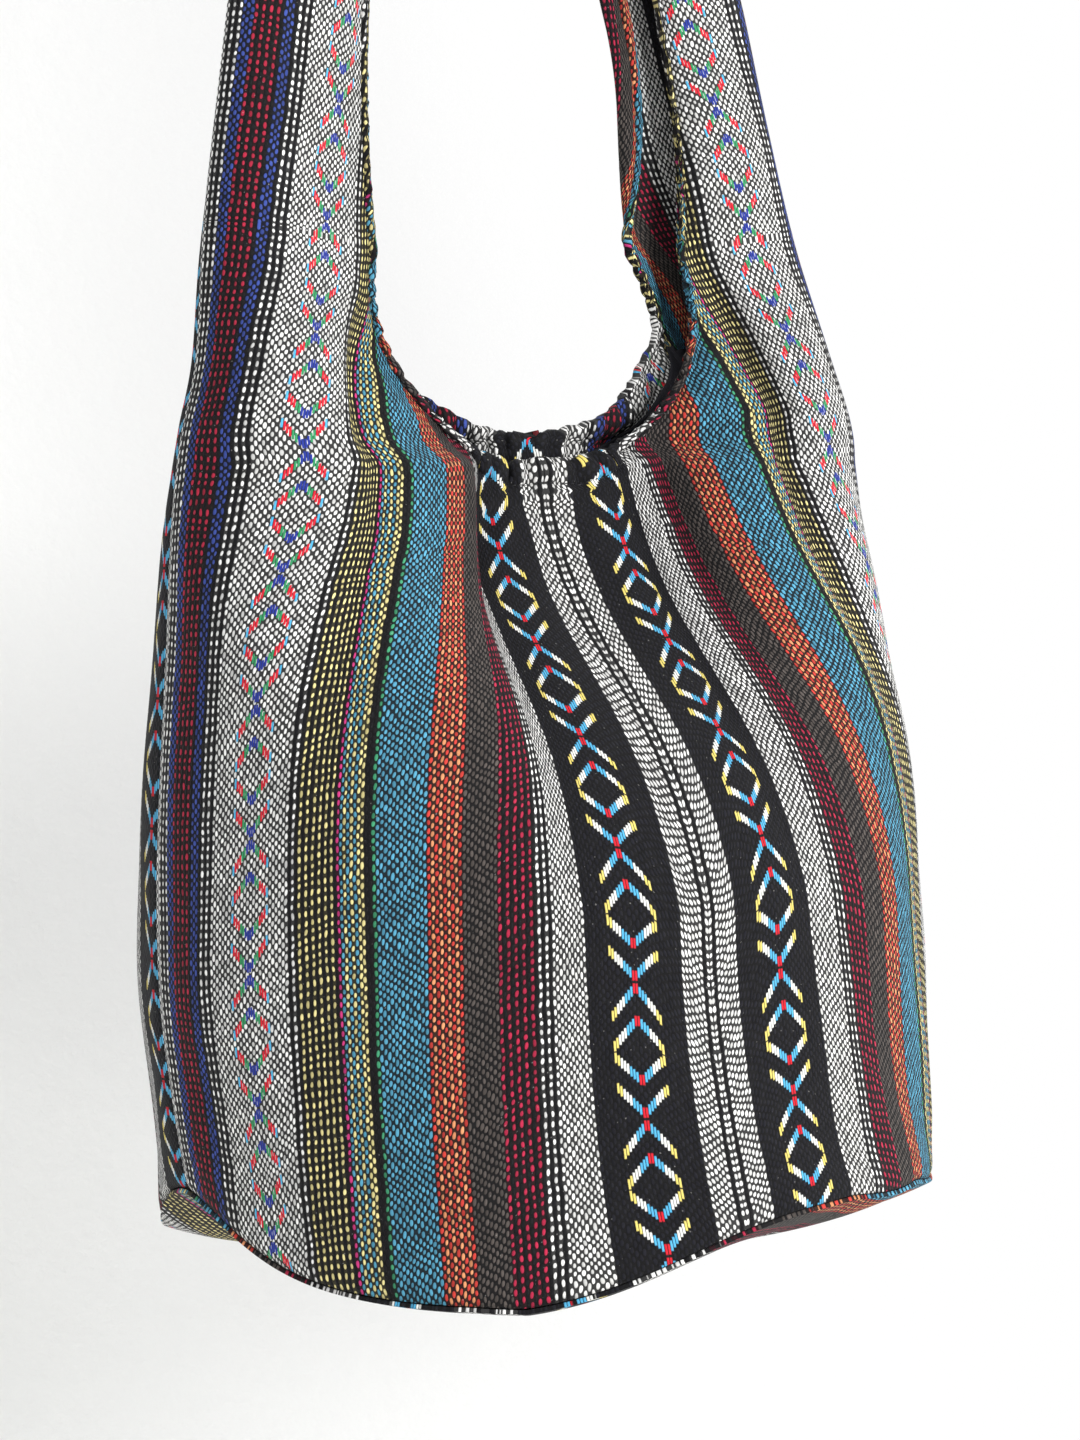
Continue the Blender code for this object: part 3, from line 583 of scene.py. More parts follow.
WARP = 0.001467           # pitch of the warp threads across the cloth
WEFT = 0.00168            # pitch of the weft threads
THREAD_CORNERS = 2.2      # power that rounds the corners of each thread seen on the weave
PIXEL = 0.0004            # unit of the stripe plan
PATTERN = 0.2936          # widest pattern coordinate that the stripe plan covers

# Stripe plan: place where the stripe starts, colour of its even warp threads, of its odd ones
STRIPES = [
    (0, WHITE, BLACK), (7.5, WHITE, WHITE), (28.5, NIGHT, NIGHT), (125.5, WHITE, WHITE),
    (158.5, WHITE, BLACK), (179.5, WINE, BLACK), (214.5, CHARCOAL, CHARCOAL),
    (247.5, RUST, STRAW), (282.5, SKY, SKY), (328.5, LEAF, BLACK), (336.0, BLACK, OCHRE),
    (343.5, OCHRE, SKY), (366.5, MAGENTA, BLACK), (372.5, OCHRE, BLACK), (412.5, WHITE, BLACK),
    (426.5, WHITE, WHITE), (511.5, WHITE, BLACK), (533.5, ROYAL, ROYAL),
    (546.5, RUBY, BLACK), (574.5, ROYAL, ROYAL), (587.5, WHITE, BLACK),
    (603.5, WHITE, WHITE), (636.5, NIGHT, NIGHT)]

# Floated motifs, on the two dark bands and on the pale band between them
DARK_CENTRES, PALE_CENTRES = (77 * PIXEL, 685 * PIXEL), (469 * PIXEL,)
DARK_REACH, PALE_REACH = 0.0098, 0.0090
DARK_PHASE, PALE_PHASE = 0.0170, 0.0235
MOTIF_PERIOD = 0.0500     # one ring and one cross along the warp
MOTIF_THREAD = 0.00108    # pitch of the floated threads
MOTIF_RISE = 1.35         # how much higher than the plain weave they stand
RING_RADIUS = 0.0113
CROSS_SLOPE, CROSS_GAP = 1.10, 0.00176
STROKE_EDGE, STROKE_CORE, STROKE_END = 0.00212, 0.00162, 0.0023
COLOUR_REACH = 0.0125     # widest distance from a motif's centre that its colours cover
DARK_COLOURS = [(0, rgb(208, 32, 48)), (2.7, rgb(84, 172, 214)), (10.8, rgb(236, 236, 230)),
                (18.9, rgb(228, 208, 112))]
PALE_COLOURS = [(0, rgb(38, 56, 150)), (5.4, rgb(54, 148, 96)), (10.8, rgb(214, 34, 52)),
                (18.9, rgb(84, 176, 220))]


def stripe_stops(parity):
    """Colour stops of the even (0) or odd (1) warp threads."""
    return [(place * PIXEL / PATTERN, stripe[parity]) for place, *stripe in STRIPES]


def woven(name, dark_phase, pale_phase):
    """Plain weave of coloured warp over a black weft, with bands of floated motifs; the threads'
    colours carry painted shading, lighter on their crowns.
    """
    g = Graph(name)
    cloth = g.node("ShaderNodeUVMap", uv_map="cloth").outputs[0]
    split = g.node("ShaderNodeSeparateXYZ", {0: cloth})
    across, up = split.outputs[0], split.outputs[1]
    waver = g.noise(cloth, 55.0, 2.0)
    drift = g.noise(cloth, 160.0, 1.0)
    across_w = g.math("MULTIPLY_ADD", g.math("SUBTRACT", drift, 0.5), 0.9 * WARP, across)
    up_w = g.math("MULTIPLY_ADD", g.math("SUBTRACT", waver, 0.5), 3.2 * WEFT, up)
    u = g.math("DIVIDE", across_w, WARP)
    column = g.math("FLOOR", u)
    fu = g.math("SUBTRACT", g.math("SUBTRACT", u, column), 0.5)
    parity = g.math("FLOORED_MODULO", column, 2.0)
    w = g.math("MULTIPLY", g.math("SUBTRACT", g.math("DIVIDE", up_w, WEFT), parity), 0.5)
    row = g.math("FLOOR", w)
    fv = g.math("MULTIPLY", g.math("SUBTRACT", g.math("SUBTRACT", w, row), 0.5), 2.0)
    luck = g.grain(column, row)
    wide = g.math("MULTIPLY_ADD", luck, 0.12, 0.38)
    tall = g.math("MULTIPLY_ADD", luck, 0.22, 0.54)
    r_across = g.math("POWER", g.math("ABSOLUTE", g.math("DIVIDE", fu, wide)), THREAD_CORNERS)
    r_up = g.math("POWER", g.math("ABSOLUTE", g.math("DIVIDE", fv, tall)), THREAD_CORNERS)
    r = g.math("SQRT", g.math("ADD", r_across, r_up))
    dot = g.step(r, 1.04, 0.84)
    dome = g.math("SQRT", g.math("SUBTRACT", 1.0, g.math("MULTIPLY", r, r), clamp=True))
    place = g.math("DIVIDE", g.math("MULTIPLY", g.math("ADD", column, 0.5), WARP), PATTERN)
    even, odd = g.steps(place, stripe_stops(0)), g.steps(place, stripe_stops(1))
    warp = g.mix(parity, even, odd)
    shade = g.math("MULTIPLY_ADD", g.grain(column, row, 3.0), 0.55, 0.62)
    # Painted shading: each warp thread's colour is painted lighter on its crown and darker at its
    # edges by its dome; the shade factor is the thread's random tone
    lit = g.math("MULTIPLY_ADD", dome, 0.30, 0.74)
    warp_tone_and_painted_shading = g.toned(warp, g.math("MULTIPLY", shade, lit))
    ground = g.mix(0.035, rgb(10, 9, 11), warp)
    base = g.mix(dot, ground, warp_tone_and_painted_shading)

    def motif(distance, phase, colours, reach):
        """Rings and crosses by turns: where they are, how high they stand, their colour."""
        threads = g.math("DIVIDE", distance, MOTIF_THREAD)
        at = g.math("MULTIPLY", g.math("ADD", g.math("FLOOR", threads), 0.5), MOTIF_THREAD)
        turn = g.math("FRACT", g.math("DIVIDE", g.math("ADD", up, phase), MOTIF_PERIOD))
        from_ring = g.math("ABSOLUTE", g.math("MULTIPLY", g.math("SUBTRACT", turn, 0.5), MOTIF_PERIOD))
        from_cross = g.math("SUBTRACT", MOTIF_PERIOD / 2, from_ring)
        ring = g.math("ABSOLUTE", g.math("SUBTRACT", g.math("ADD", at, from_ring), RING_RADIUS))
        arm = g.math("MULTIPLY_ADD", at, CROSS_SLOPE, CROSS_GAP)
        cross = g.math("ABSOLUTE", g.math("SUBTRACT", from_cross, arm))
        off = g.math("MINIMUM", ring, cross)
        from_thread = g.math("ABSOLUTE", g.math("SUBTRACT", g.math("FRACT", threads), 0.5))
        inside = g.step(off, STROKE_EDGE, STROKE_CORE)
        inside = g.math("MULTIPLY", inside, g.step(at, reach + 0.0001, reach))
        inside = g.math("MULTIPLY", inside, g.step(from_thread, 0.47, 0.36))
        bow = g.math("MULTIPLY", g.math("MULTIPLY", from_thread, from_thread), 3.2)
        rounded = g.math("SQRT", g.math("SUBTRACT", 1.0, bow, clamp=True))
        fall = g.math("POWER", g.math("DIVIDE", off, STROKE_END), 4.0)
        ends = g.math("SQRT", g.math("SUBTRACT", 1.0, fall, clamp=True))
        high = g.math("MULTIPLY", inside, g.math("MULTIPLY", rounded, ends))
        stops = [(place * PIXEL / COLOUR_REACH, hue) for place, hue in colours]
        return inside, high, g.steps(g.math("DIVIDE", at, COLOUR_REACH), stops)

    height = g.math("MULTIPLY", dot, dome)
    for centres, phase, colours, reach in (
            (DARK_CENTRES, dark_phase, DARK_COLOURS, DARK_REACH),
            (PALE_CENTRES, pale_phase, PALE_COLOURS, PALE_REACH)):
        distance, *others = [g.math("ABSOLUTE", g.math("SUBTRACT", across, centre))
                             for centre in centres]
        for other in others:
            distance = g.math("MINIMUM", distance, other)
        inside, high, colour = motif(distance, phase, colours, reach)
        # Painted shading: the floated threads' colour is painted lighter where they stand highest and
        # darker at their sides and ends
        colour = g.toned(colour, g.math("MULTIPLY_ADD", high, 0.40, 0.62))
        base = g.mix(inside, base, colour)
        height = g.math("MAXIMUM", height, g.math("MULTIPLY", high, MOTIF_RISE))
    # Slow change of tone over the cloth, and pale lint caught on it
    base = g.toned(base, g.math("MULTIPLY_ADD", g.noise(cloth, 18.0, 3.0), 0.30, 0.84))
    lint = g.step(g.noise(cloth, 900.0, 0.0), 0.80, 0.86)
    base = g.mix(g.math("MULTIPLY", lint, 0.35), base, rgb(170, 168, 165))
    g.put(g.shader.inputs["Base Color"], base)
    g.put(g.shader.inputs["Roughness"], g.math("MULTIPLY_ADD", luck, 0.14, 0.78))
    g.shader.inputs["Specular IOR Level"].default_value = 0.25
    g.shader.inputs["Sheen Weight"].default_value = 0.03
    g.shader.inputs["Sheen Roughness"].default_value = 0.5
    bump = g.node("ShaderNodeBump", {"Strength": 0.75, "Distance": 0.00045, "Height": height})
    g.put(g.shader.inputs["Normal"], bump.outputs[0])
    return g.mat


def plain_lining():
    """Black plain-weave lining cotton."""
    g = Graph("lining_cotton")
    where = g.node("ShaderNodeTexCoord").outputs["Object"]
    x, y, z = g.node("ShaderNodeSeparateXYZ", {0: where}).outputs
    a = g.math("SINE", g.math("MULTIPLY", g.math("ADD", x, y), math.pi / 0.0005))
    b = g.math("SINE", g.math("MULTIPLY", z, math.pi / 0.0005))
    weave = g.math("MULTIPLY", a, b)
    cloudy = g.noise(where, 30.0, 3.0)
    tone = g.math("MULTIPLY_ADD", weave, 0.12, cloudy)
    g.put(g.shader.inputs["Base Color"], g.mix(tone, rgb(26, 26, 30), rgb(44, 44, 50)))
    g.put(g.shader.inputs["Roughness"], g.math("MULTIPLY_ADD", cloudy, 0.15, 0.75))
    g.shader.inputs["Specular IOR Level"].default_value = 0.3
    bump = g.node("ShaderNodeBump", {"Strength": 0.5, "Distance": 0.0002, "Height": weave})
    g.put(g.shader.inputs["Normal"], bump.outputs[0])
    return g.mat


def thread_cotton():
    """Dark sewing thread."""
    g = Graph("sewing_thread")
    where = g.node("ShaderNodeTexCoord").outputs["Object"]
    twist = g.noise(where, 2500.0, 1.0)
    g.put(g.shader.inputs["Base Color"], g.mix(twist, rgb(14, 14, 16), rgb(58, 57, 60)))
    g.shader.inputs["Roughness"].default_value = 0.6
    return g.mat


def plated_metal():
    """Nickel plating with fine scratches and dull patches."""
    g = Graph("snap_nickel")
    where = g.node("ShaderNodeTexCoord").outputs["Object"]
    scratch = g.noise(g.node("ShaderNodeVectorMath", {0: where, 1: (3000.0, 300.0, 300.0)},
                             operation="MULTIPLY").outputs[0], 1.0, 3.0)
    g.put(g.shader.inputs["Base Color"], g.mix(scratch, rgb(176, 172, 164), rgb(214, 211, 204)))
    g.put(g.shader.inputs["Roughness"], g.math("MULTIPLY_ADD", scratch, 0.25, 0.20))
    g.shader.inputs["Metallic"].default_value = 1.0
    bump = g.node("ShaderNodeBump", {"Strength": 0.15, "Distance": 0.0001, "Height": scratch})
    g.put(g.shader.inputs["Normal"], bump.outputs[0])
    return g.mat


# Pieces


def new_object(name, vertices, faces, mat, body="root"):
    mesh = bpy.data.meshes.new(name)
    mesh.from_pydata(np.asarray(vertices, float).tolist(), [], [tuple(map(int, f)) for f in faces])
    mesh.update()
    mesh.shade_smooth()
    obj = bpy.data.objects.new(name, mesh)
    bpy.context.scene.collection.objects.link(obj)
    mesh.materials.append(mat)
    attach(obj, body)
    return obj


def thicken(obj, thickness, shares=None):
    """Gives the sheet its thickness, centred on it; shares vary it from point to point."""
    solid = obj.modifiers.new("Thickness", "SOLIDIFY")
    solid.thickness = thickness
    solid.offset = 0.0
    if shares is not None:
        group = obj.vertex_groups.new(name="thickness")
        for level in np.unique(np.round(shares, 3)):
            members = np.flatnonzero(np.round(shares, 3) == level)
            group.add(members.tolist(), float(level), "REPLACE")
        solid.vertex_group = "thickness"


def lay_cloth(obj, pattern, height):
    """Writes the pattern coordinates of the points into the UV map named cloth."""
    mesh = obj.data
    layer = mesh.uv_layers.new(name="cloth")
    corner = np.empty(len(mesh.loops), np.int32)
    mesh.loops.foreach_get("vertex_index", corner)
    uv = np.stack([np.asarray(pattern)[corner], np.asarray(height)[corner]], 1)
    layer.data.foreach_set("uv", uv.astype(np.float32).ravel())


SEAM_PATTERN = 684 * PIXEL    # at equal c, the front's and the back's coordinate add up to this
WARP_COLUMNS, BODY_ROWS, STRAP_ROWS = 83, 67, 101


def pattern_of(face, c):
    return abs(c) if face == FRONT else SEAM_PATTERN - abs(c)


def warp_height(face, c, v):
    """Height in the pattern: the length along the warp thread, equal to v at the mouth's level."""
    columns = np.linspace(-cloth_of(face), cloth_of(face), WARP_COLUMNS)
    rows = np.concatenate([np.linspace(0, MOUTH, BODY_ROWS),
                           np.linspace(MOUTH, LOOP_TOP, STRAP_ROWS)[1:]])
    grid_c, grid_v = np.meshgrid(columns, rows, indexing="ij")
    places = cloth_point(face, grid_c, grid_v)
    rate = np.linalg.norm(np.diff(places, axis=1), axis=2) / np.diff(rows)
    # Where the mouth is cut out there is no cloth, so nothing is added there
    cut = (abs(grid_c) < mouth_cut(face, grid_v) + 0.008)[:, 1:]
    rate = np.where(cut, 1.0, np.clip(rate, 0.8, 1.5))
    # Neighbouring threads pull on each other, so the rate is spread over nine columns
    spread = np.exp(-(np.arange(-4, 5) / 2.2)**2)
    padded = np.pad(rate, ((4, 4), (0, 0)), mode="edge")
    rate = sum(w * padded[k:k + len(rate)] for k, w in enumerate(spread / spread.sum()))
    along = np.concatenate([np.zeros((len(rate), 1)), np.cumsum(rate * np.diff(rows), axis=1)], 1)
    along += MOUTH - along[:, BODY_ROWS - 1:BODY_ROWS]
    column = (np.asarray(c) - columns[0]) / (columns[1] - columns[0])
    column = np.clip(column, 0, len(columns) - 1.001)
    i = column.astype(int)
    k = np.clip(np.searchsorted(rows, v, side="right") - 1, 0, len(rows) - 2)
    a, b = column - i, (np.clip(v, 0, LOOP_TOP) - rows[k]) / (rows[k + 1] - rows[k])
    return ((1 - a) * ((1 - b) * along[i, k] + b * along[i, k + 1])
            + a * ((1 - b) * along[i + 1, k] + b * along[i + 1, k + 1]))


# Small forms of the panels' cloth: how far each stands out or lies in
SEAM_TURN_IN, BASE_TURN_IN = 0.0011, 0.0012
PUCKER, MOUTH_PUCKER, PUCKER_PITCH = 0.0004, 0.0012, 0.0105
KNOB, KNOB_HOLLOW = 0.0042, 0.0030
FAN, FAN_FOLDS, FAN_LENGTH = 0.0016, 17.0, 0.035
SWAY = 0.0011
STITCH_GROOVE, STITCH_LINE = 0.0010, 0.0094
THICKEST = 0.0050


def panel_shape(face):
    """Fine sheet of a panel: cloth points, places with the small forms, normals, quads, depth."""
    grids = panel_layout(face)
    points, quads = joined(face, {side: grids for side in (1, -1)})
    c, v = points.T
    places = evened_out(cloth_point(face, c, v), quads, 6)
    normals = point_normals(places, quads)
    depth, along = hem_nearest(face, c, v)
    push = np.zeros(len(c))
    # The edges at the side seams and the base seam turn in
    seam = cloth_of(face) - abs(c)
    push -= SEAM_TURN_IN * np.exp(-(seam / 0.0022)**2)
    push -= BASE_TURN_IN * np.exp(-(v / 0.0026)**2)
    # The turned hem is puckered, most near the middle of the mouth
    mouth = np.exp(-(along / 0.085)**2)
    pucker = np.sin(along * 2 * np.pi / PUCKER_PITCH + 0.8 * np.sin(along * 90))
    push += (PUCKER + MOUTH_PUCKER * mouth) * pucker * np.exp(-((depth - 0.005) / 0.007)**2)
    # The front's cloth is pinched together at the snap: a knob on the hem, hollow beside it
    if face == FRONT:
        push += KNOB * np.exp(-(np.hypot(c - 0.002, depth - 0.006) / 0.0085)**2)
        beside = np.exp(-((abs(c) - 0.017) / 0.0065)**2) * np.exp(-((depth - 0.006) / 0.008)**2)
        push -= KNOB_HOLLOW * beside
    # Wrinkles fan out below the middle of the mouth
    fan = np.sin(np.arctan2(c, MOUTH + 0.004 - v) * FAN_FOLDS + 0.6)
    fan *= np.exp(-np.hypot(c, v - MOUTH) / FAN_LENGTH)
    push += np.where(v < MOUTH - HEM_WIDTH, FAN, 0.0) * fan * smooth((depth - HEM_WIDTH) / 0.01)
    # Slow wrinkles of the hanging cloth
    sway = np.sin(c * 61 + 9 * v + 1.1 * np.sin(v * 23)) * np.sin(v * 37 + c * 16 + 0.7)
    push += SWAY * sway * smooth(depth / 0.03) * smooth(seam / 0.02) * smooth(v / 0.03)
    # Groove where the hem is sewn down
    push -= STITCH_GROOVE * np.exp(-((depth - STITCH_LINE) / 0.0012)**2)
    return c, v, places + push[:, None] * normals, normals, quads, depth


SHEETS = {face: panel_shape(face) for face in (FRONT, BACK)}
weaves = {FRONT: woven("woven_stripes_front", DARK_PHASE, PALE_PHASE),
          BACK: woven("woven_stripes_back", DARK_PHASE, PALE_PHASE)}
NODES = {FRONT: "front_panel", BACK: "back_panel"}
for face in (FRONT, BACK):
    c, v, places, _, quads, depth = SHEETS[face]
    obj = new_object("cloth_" + NODES[face], places, quads, weaves[face])
    lay_cloth(obj, pattern_of(face, c), warp_height(face, c, v))
    roll = through([(0, 0.0030), (0.0016, 0.0042), (0.0050, 0.0046), (0.0080, 0.0034),
                    (0.0096, 0.0018), (0.0117, CLOTH), (1, CLOTH)], depth)
    thicken(obj, THICKEST, roll / THICKEST)
    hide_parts(NODES[face])


def base_shape(inset, lift, rings):
    """Oval sheet inside the base seam, swelling down just inside its edge."""
    around = []
    for face in (FRONT, BACK):
        whole = np.linspace(-cloth_of(face), cloth_of(face), 181)
        around.append(cloth_point(face, face * whole[:-1], 0.0))
    rim = np.concatenate(around)
    spokes = len(rim)
    middle = rim.mean(axis=0)
    middle[2] = (rim[:, 2].min() + rim[:, 2].mean()) / 2
    span = np.linalg.norm((rim - middle)[:, :2], axis=1)
    outer = 1 - inset / span
    vertices, faces = [], []
    for ring in rings:
        r = (outer * ring)[:, None]
        place = middle + (rim - middle) * r
        rise = rim[:, 2:3] * r**1.4 + middle[2] * (1 - r**1.4)
        drop = BASE_BULGE * (1 - r**7) + BASE_SAG * (1 - r**2)
        place[:, 2:3] = rise - drop + lift
        vertices.extend(place)
    for k in range(len(rings) - 1):
        for i in range(spokes):
            j = (i + 1) % spokes
            faces.append((k * spokes + i, (k + 1) * spokes + i,
                          (k + 1) * spokes + j, k * spokes + j))
    hub = len(vertices)
    vertices.append(middle + (0, 0, lift - BASE_BULGE - BASE_SAG))
    last = (len(rings) - 1) * spokes
    faces += [(last + i, hub, last + (i + 1) % spokes) for i in range(spokes)]
    return np.array(vertices), faces


BASE_DROP = CLOTH / 2 + 0.0007
BASE_WARP_TURN = math.radians(130)    # the base is cut with its stripes at this angle
BASE_ACROSS, BASE_ALONG = 0.10, 0.3   # and its middle lies here in the pattern
rings = 1 - np.concatenate([[0, 0.004, 0.010, 0.018, 0.028], np.linspace(0.04, 0.97, 34)])
places, faces = base_shape(0.0, -BASE_DROP, rings)
base = new_object("cloth_base_panel", places, faces, woven("woven_stripes_base", 0.0, 0.0))
cos, sin = math.cos(BASE_WARP_TURN), math.sin(BASE_WARP_TURN)
slant = places[:, 0] * cos + places[:, 1] * sin
lengthways = -places[:, 0] * sin + places[:, 1] * cos
lay_cloth(base, abs(slant + BASE_ACROSS), lengthways + BASE_ALONG)
thicken(base, CLOTH)
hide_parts("base_panel")

# Lining sack: front, back and base, and a patch pocket on the back lining
lining_mat = plain_lining()
LINING_TOP, LINING_FOOT = MOUTH + 0.050, 0.0045
LINING_HEM, LINING_SIDE = 0.0125, 0.002    # room left to the hem's edge and the side seams
LINING_BASE_INSET = 0.0022
EASE, BASE_EASE = 0.0004, 0.0006           # the fine linings lie this much further inside
LINING_DEPTH = CLOTH / 2 + LAYER_GAP + LINING / 2 + EASE


def inner_layer(name, node, face, offset, keep):
    """A layer inside a panel: the part of its sheet that keep picks, moved in by offset."""
    c, v, places, _, quads, depth = SHEETS[face]
    flat = evened_out(places, quads, 4)
    moved = flat - offset * point_normals(flat, quads)
    kept = keep(c, v, depth)
    quads = np.array([q for q in quads if all(kept[list(q)])])
    used = np.unique(quads)
    renumber = np.full(len(c), -1)
    renumber[used] = np.arange(len(used))
    obj = new_object(name, moved[used], renumber[quads], lining_mat)
    thicken(obj, LINING)
    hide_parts(node)


for face, name in ((FRONT, "lining_front"), (BACK, "lining_back")):
    inner_layer("cloth_" + name, name, face, LINING_DEPTH,
                lambda c, v, depth: (v < LINING_TOP) & (v > LINING_FOOT) & (depth > LINING_HEM)
                & (abs(c) < cloth_of(face) - LINING_SIDE))
inner_layer("cloth_inner_pocket", "inner_pocket", BACK, LINING_DEPTH + LINING + POCKET_GAP,
            lambda c, v, depth: (v < POCKET_TOP) & (v > POCKET_BOTTOM) & (abs(c) < POCKET_HALF_WIDTH))
LINING_BASE_LIFT = CLOTH / 2 + LAYER_GAP + LINING / 2 + BASE_EASE - BASE_DROP
places, faces = base_shape(LINING_BASE_INSET, LINING_BASE_LIFT, rings[::2])
lining_base = new_object("cloth_lining_base", places, faces, lining_mat)
thicken(lining_base, LINING)
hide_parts("lining_base")


STITCH_LENGTH, STITCH_PITCH, THREAD_RADIUS = 0.0024, 0.0034, 0.00028
STITCH_MARGIN = 0.004     # room left at the middle of the mouth and at the loop's top
RING = 6                  # corners round the thread


def stitches(name, face):
    """A row of thread stitches lying on the outside of the hem."""
    stations = np.arange(STITCH_MARGIN, HEM_LINES[face][1][-1] - STITCH_MARGIN, STITCH_PITCH)
    vertices, faces = [], []
    ring = np.linspace(0, 2 * np.pi, RING, endpoint=False)
    c0, v0, sheet, normals = SHEETS[face][:4]
    tree = kdtree.KDTree(len(c0))
    for i, (a, b) in enumerate(zip(c0, v0)):
        tree.insert((a, b, 0), i)
    tree.balance()
    for side in (1, -1):
        rows = []
        for t in (-0.5, -0.25, 0.0, 0.25, 0.5):
            edge, inward = hem_frame(face, stations + t * STITCH_LENGTH)
            spot = edge + STITCH_LINE * inward
            near_ids = [tree.find((side * a, b, 0))[1] for a, b in spot]
            place = cloth_point(face, side * spot[:, 0], spot[:, 1])
            normal = normals[near_ids]
            shift = sheet[near_ids] - cloth_point(face, c0[near_ids], v0[near_ids])
            lift = CLOTH / 2 + THREAD_RADIUS * (1.1 - 6.5 * t * t)
            rows.append((place + shift + lift * normal, normal))
        for k in range(len(stations)):
            path = np.array([row[0][k] for row in rows])
            tangent = path[-1] - path[0]
            tangent /= np.linalg.norm(tangent) + 1e-12
            n = rows[2][1][k]
            b = np.cross(tangent, n)
            start = len(vertices)
            for i, p in enumerate(path):
                r = THREAD_RADIUS * (0.55 if i in (0, len(path) - 1) else 1.0)
                vertices.extend(p + r * (np.cos(a) * n + np.sin(a) * b) for a in ring)
            for i in range(len(path) - 1):
                for j in range(RING):
                    m = (j + 1) % RING
                    here, ahead = start + i * RING, start + (i + 1) * RING
                    faces.append((here + j, here + m, ahead + m, ahead + j))
            faces.append(tuple(start + j for j in reversed(range(RING))))
            faces.append(tuple(start + (len(path) - 1) * RING + j for j in range(RING)))
    obj = new_object(name, vertices, faces, thread_mat)


thread_mat = thread_cotton()
for face, name in ((FRONT, "hem_stitches_front"), (BACK, "hem_stitches_back")):
    stitches(name, face)

snap_mat = plated_metal()
for name in ("snap_socket", "snap_stud"):
    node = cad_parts[name]
    node.data.materials.clear()
    node.data.materials.append(snap_mat)

# Wall, light and camera

VIEW_AZIMUTH, VIEW_ELEVATION, VIEW_ROLL = map(math.radians, (-27.0, 3.0, -1.5))
CAMERA_PLACE = Vector((-0.6151, -1.2897, -0.6324))
FOCAL_PIXELS, FRAME_HEIGHT = 3375.0, 1440.0


def set_camera():
    back = Vector((math.sin(VIEW_AZIMUTH) * math.cos(VIEW_ELEVATION),
                   -math.cos(VIEW_AZIMUTH) * math.cos(VIEW_ELEVATION), math.sin(VIEW_ELEVATION)))
    right = Vector((math.cos(VIEW_AZIMUTH), math.sin(VIEW_AZIMUTH), 0))
    up = back.cross(right)
    cos, sin = math.cos(VIEW_ROLL), math.sin(VIEW_ROLL)
    right, up = right * cos + up * sin, up * cos - right * sin
    data = bpy.data.cameras.new("camera")
    data.sensor_width = 36.0
    data.lens = data.sensor_width * FOCAL_PIXELS / FRAME_HEIGHT
    camera = bpy.data.objects.new("camera", data)
    camera.matrix_world = Matrix((
        (right.x, up.x, back.x, CAMERA_PLACE.x), (right.y, up.y, back.y, CAMERA_PLACE.y),
        (right.z, up.z, back.z, CAMERA_PLACE.z), (0, 0, 0, 1)))
    bpy.context.scene.collection.objects.link(camera)
    bpy.context.scene.camera = camera


def wall_plaster():
    """Pale plaster, seen from its front only; to the right it has painted light, a white glow that
    camera rays see.
    """
    g = Graph("wall_plaster")
    where = g.node("ShaderNodeTexCoord").outputs["Object"]
    x, _, z = g.node("ShaderNodeSeparateXYZ", {0: where}).outputs
    rough = g.noise(where, 70.0, 5.0, 0.65)
    soft = g.noise(where, 4.0, 2.0)
    g.put(g.shader.inputs["Base Color"], g.mix(soft, rgb(232, 232, 228), rgb(242, 242, 240)))
    g.shader.inputs["Roughness"].default_value = 0.95
    g.shader.inputs["Specular IOR Level"].default_value = 0.1
    bump = g.node("ShaderNodeBump", {"Strength": 0.35, "Distance": 0.004, "Height": rough})
    g.put(g.shader.inputs["Normal"], bump.outputs[0])
    # Painted light: the wall is painted brighter towards the right, where the key light falls, by a
    # white glow seen by camera, glossy and transmission rays
    bright = g.step(g.math("MULTIPLY_ADD", z, 0.25, x), -0.62, 0.02, 0.0, 1.0)
    rays = g.node("ShaderNodeLightPath").outputs
    seen = g.math("ADD", g.math("ADD", rays["Is Camera Ray"], rays["Is Glossy Ray"]),
                  rays["Is Transmission Ray"], clamp=True)
    white = g.node("ShaderNodeEmission", {"Color": (1.0, 1.0, 1.0), "Strength": 1.0})
    lit = g.node("ShaderNodeMixShader", {0: g.math("MULTIPLY", bright, seen), 1: g.shader.outputs[0],
                                         2: white.outputs[0]})
    clear = g.node("ShaderNodeBsdfTransparent")
    facing = g.node("ShaderNodeNewGeometry").outputs["Backfacing"]
    both = g.node("ShaderNodeMixShader", {0: facing, 1: lit.outputs[0], 2: clear.outputs[0]})
    out = g.tree.nodes["Material Output"]
    g.put(out.inputs["Surface"], both.outputs[0])
    return g.mat


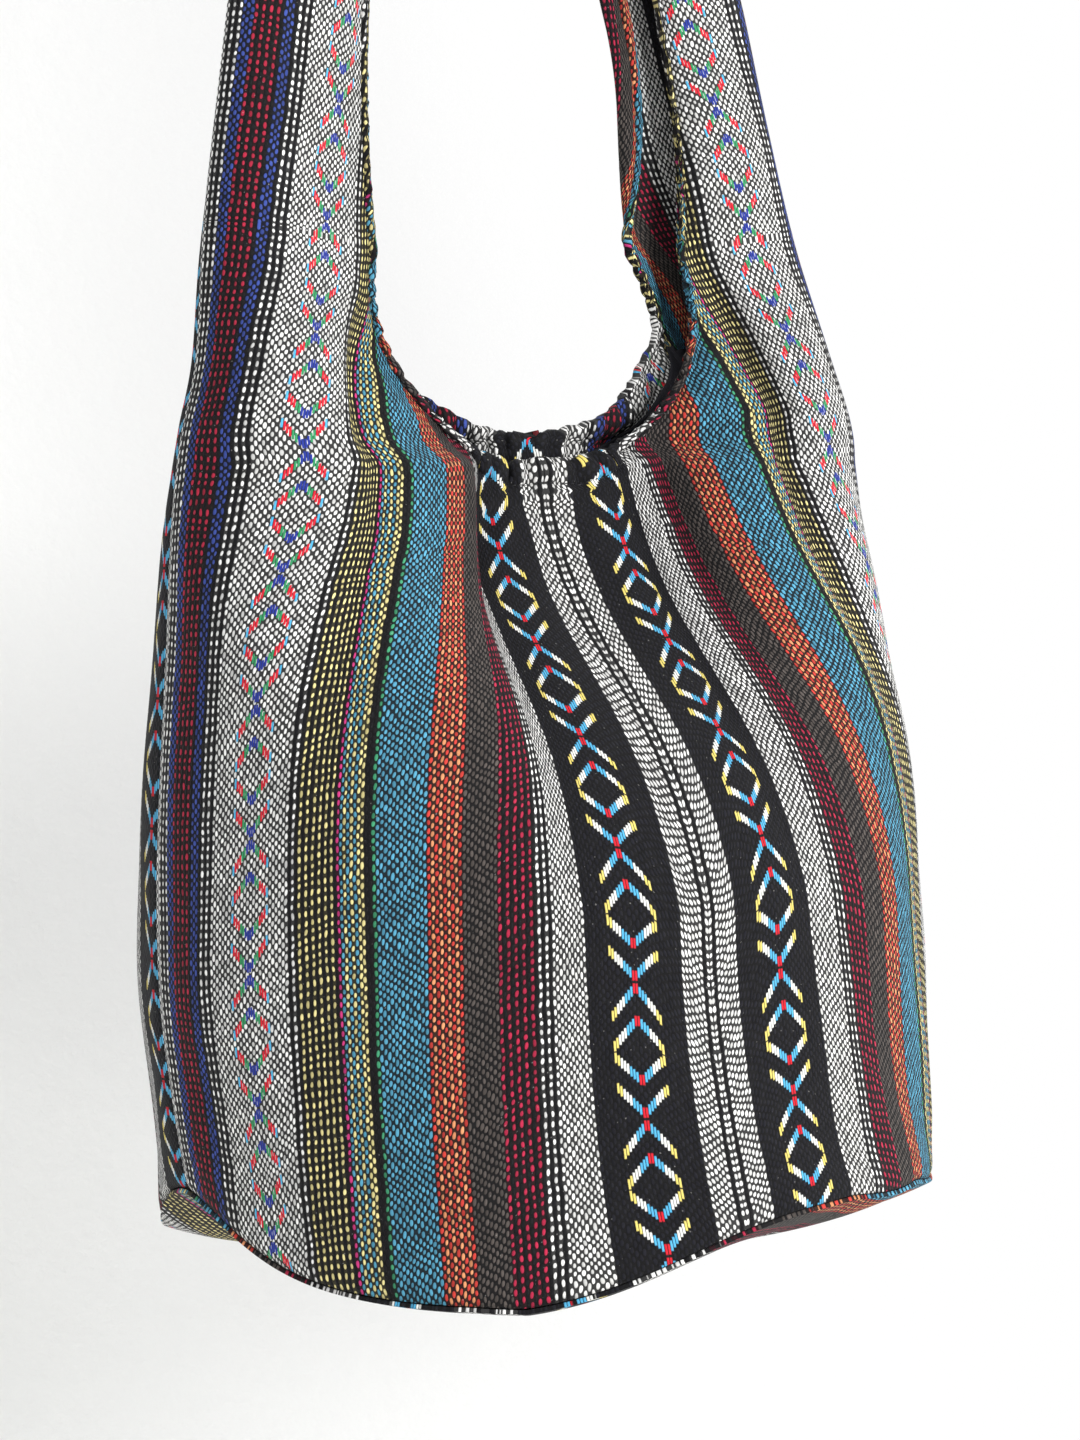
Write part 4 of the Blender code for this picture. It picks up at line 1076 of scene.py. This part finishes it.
def set_wall():
    """A wall square to the view, bending forward into a floor."""
    wall_back, floor_z, bend = 0.135, -1.30, 0.30
    profile = [(wall_back, 1.6)]
    profile += [(wall_back - bend + bend * math.cos(a), floor_z + bend - bend * math.sin(a))
                for a in np.linspace(0, math.pi / 2, 17)]
    profile += [(-3.0, floor_z)]
    vertices = [(x, y, z) for x in (-3.0, 3.0) for y, z in profile]
    n = len(profile)
    faces = [(k, k + 1, n + k + 1, n + k) for k in range(n - 1)]
    mesh = bpy.data.meshes.new("wall")
    mesh.from_pydata(vertices, [], faces)
    mesh.shade_smooth()
    wall = bpy.data.objects.new("wall", mesh)
    wall.rotation_euler[2] = VIEW_AZIMUTH
    bpy.context.scene.collection.objects.link(wall)
    mesh.materials.append(wall_plaster())


def set_light():
    scene = bpy.context.scene
    scene.view_settings.view_transform = "Standard"
    world = bpy.data.worlds.new("world")
    scene.world = world
    world.use_nodes = True
    tree = world.node_tree
    background = tree.nodes["Background"]
    background.inputs["Color"].default_value = (0.93, 0.95, 1.0, 1.0)
    background.inputs["Strength"].default_value = 0.42
    white = tree.nodes.new("ShaderNodeBackground")
    white.inputs["Color"].default_value = (0.92, 0.92, 0.92, 1.0)
    white.inputs["Strength"].default_value = 1.0
    mix = tree.nodes.new("ShaderNodeMixShader")
    rays = tree.nodes.new("ShaderNodeLightPath")
    tree.links.new(rays.outputs["Is Camera Ray"], mix.inputs[0])
    tree.links.new(background.outputs[0], mix.inputs[1])
    tree.links.new(white.outputs[0], mix.inputs[2])
    tree.links.new(mix.outputs[0], tree.nodes["World Output"].inputs["Surface"])
    aim = Vector((0.0, -0.05, -0.62))
    for name, place, size, power in (("key", (0.95, -1.9, 0.10), 1.1, 50.0),
                                     ("fill", (-1.8, -1.7, -0.3), 2.0, 24.0),
                                     ("rear", (0.2, 2.2, 0.6), 2.0, 14.0)):
        data = bpy.data.lights.new(name, "AREA")
        data.shape = "DISK"
        data.size = size
        data.energy = power
        lamp = bpy.data.objects.new(name, data)
        lamp.location = place
        lamp.rotation_euler = (aim - Vector(place)).to_track_quat("-Z", "Y").to_euler()
        scene.collection.objects.link(lamp)


set_camera()
set_wall()
set_light()
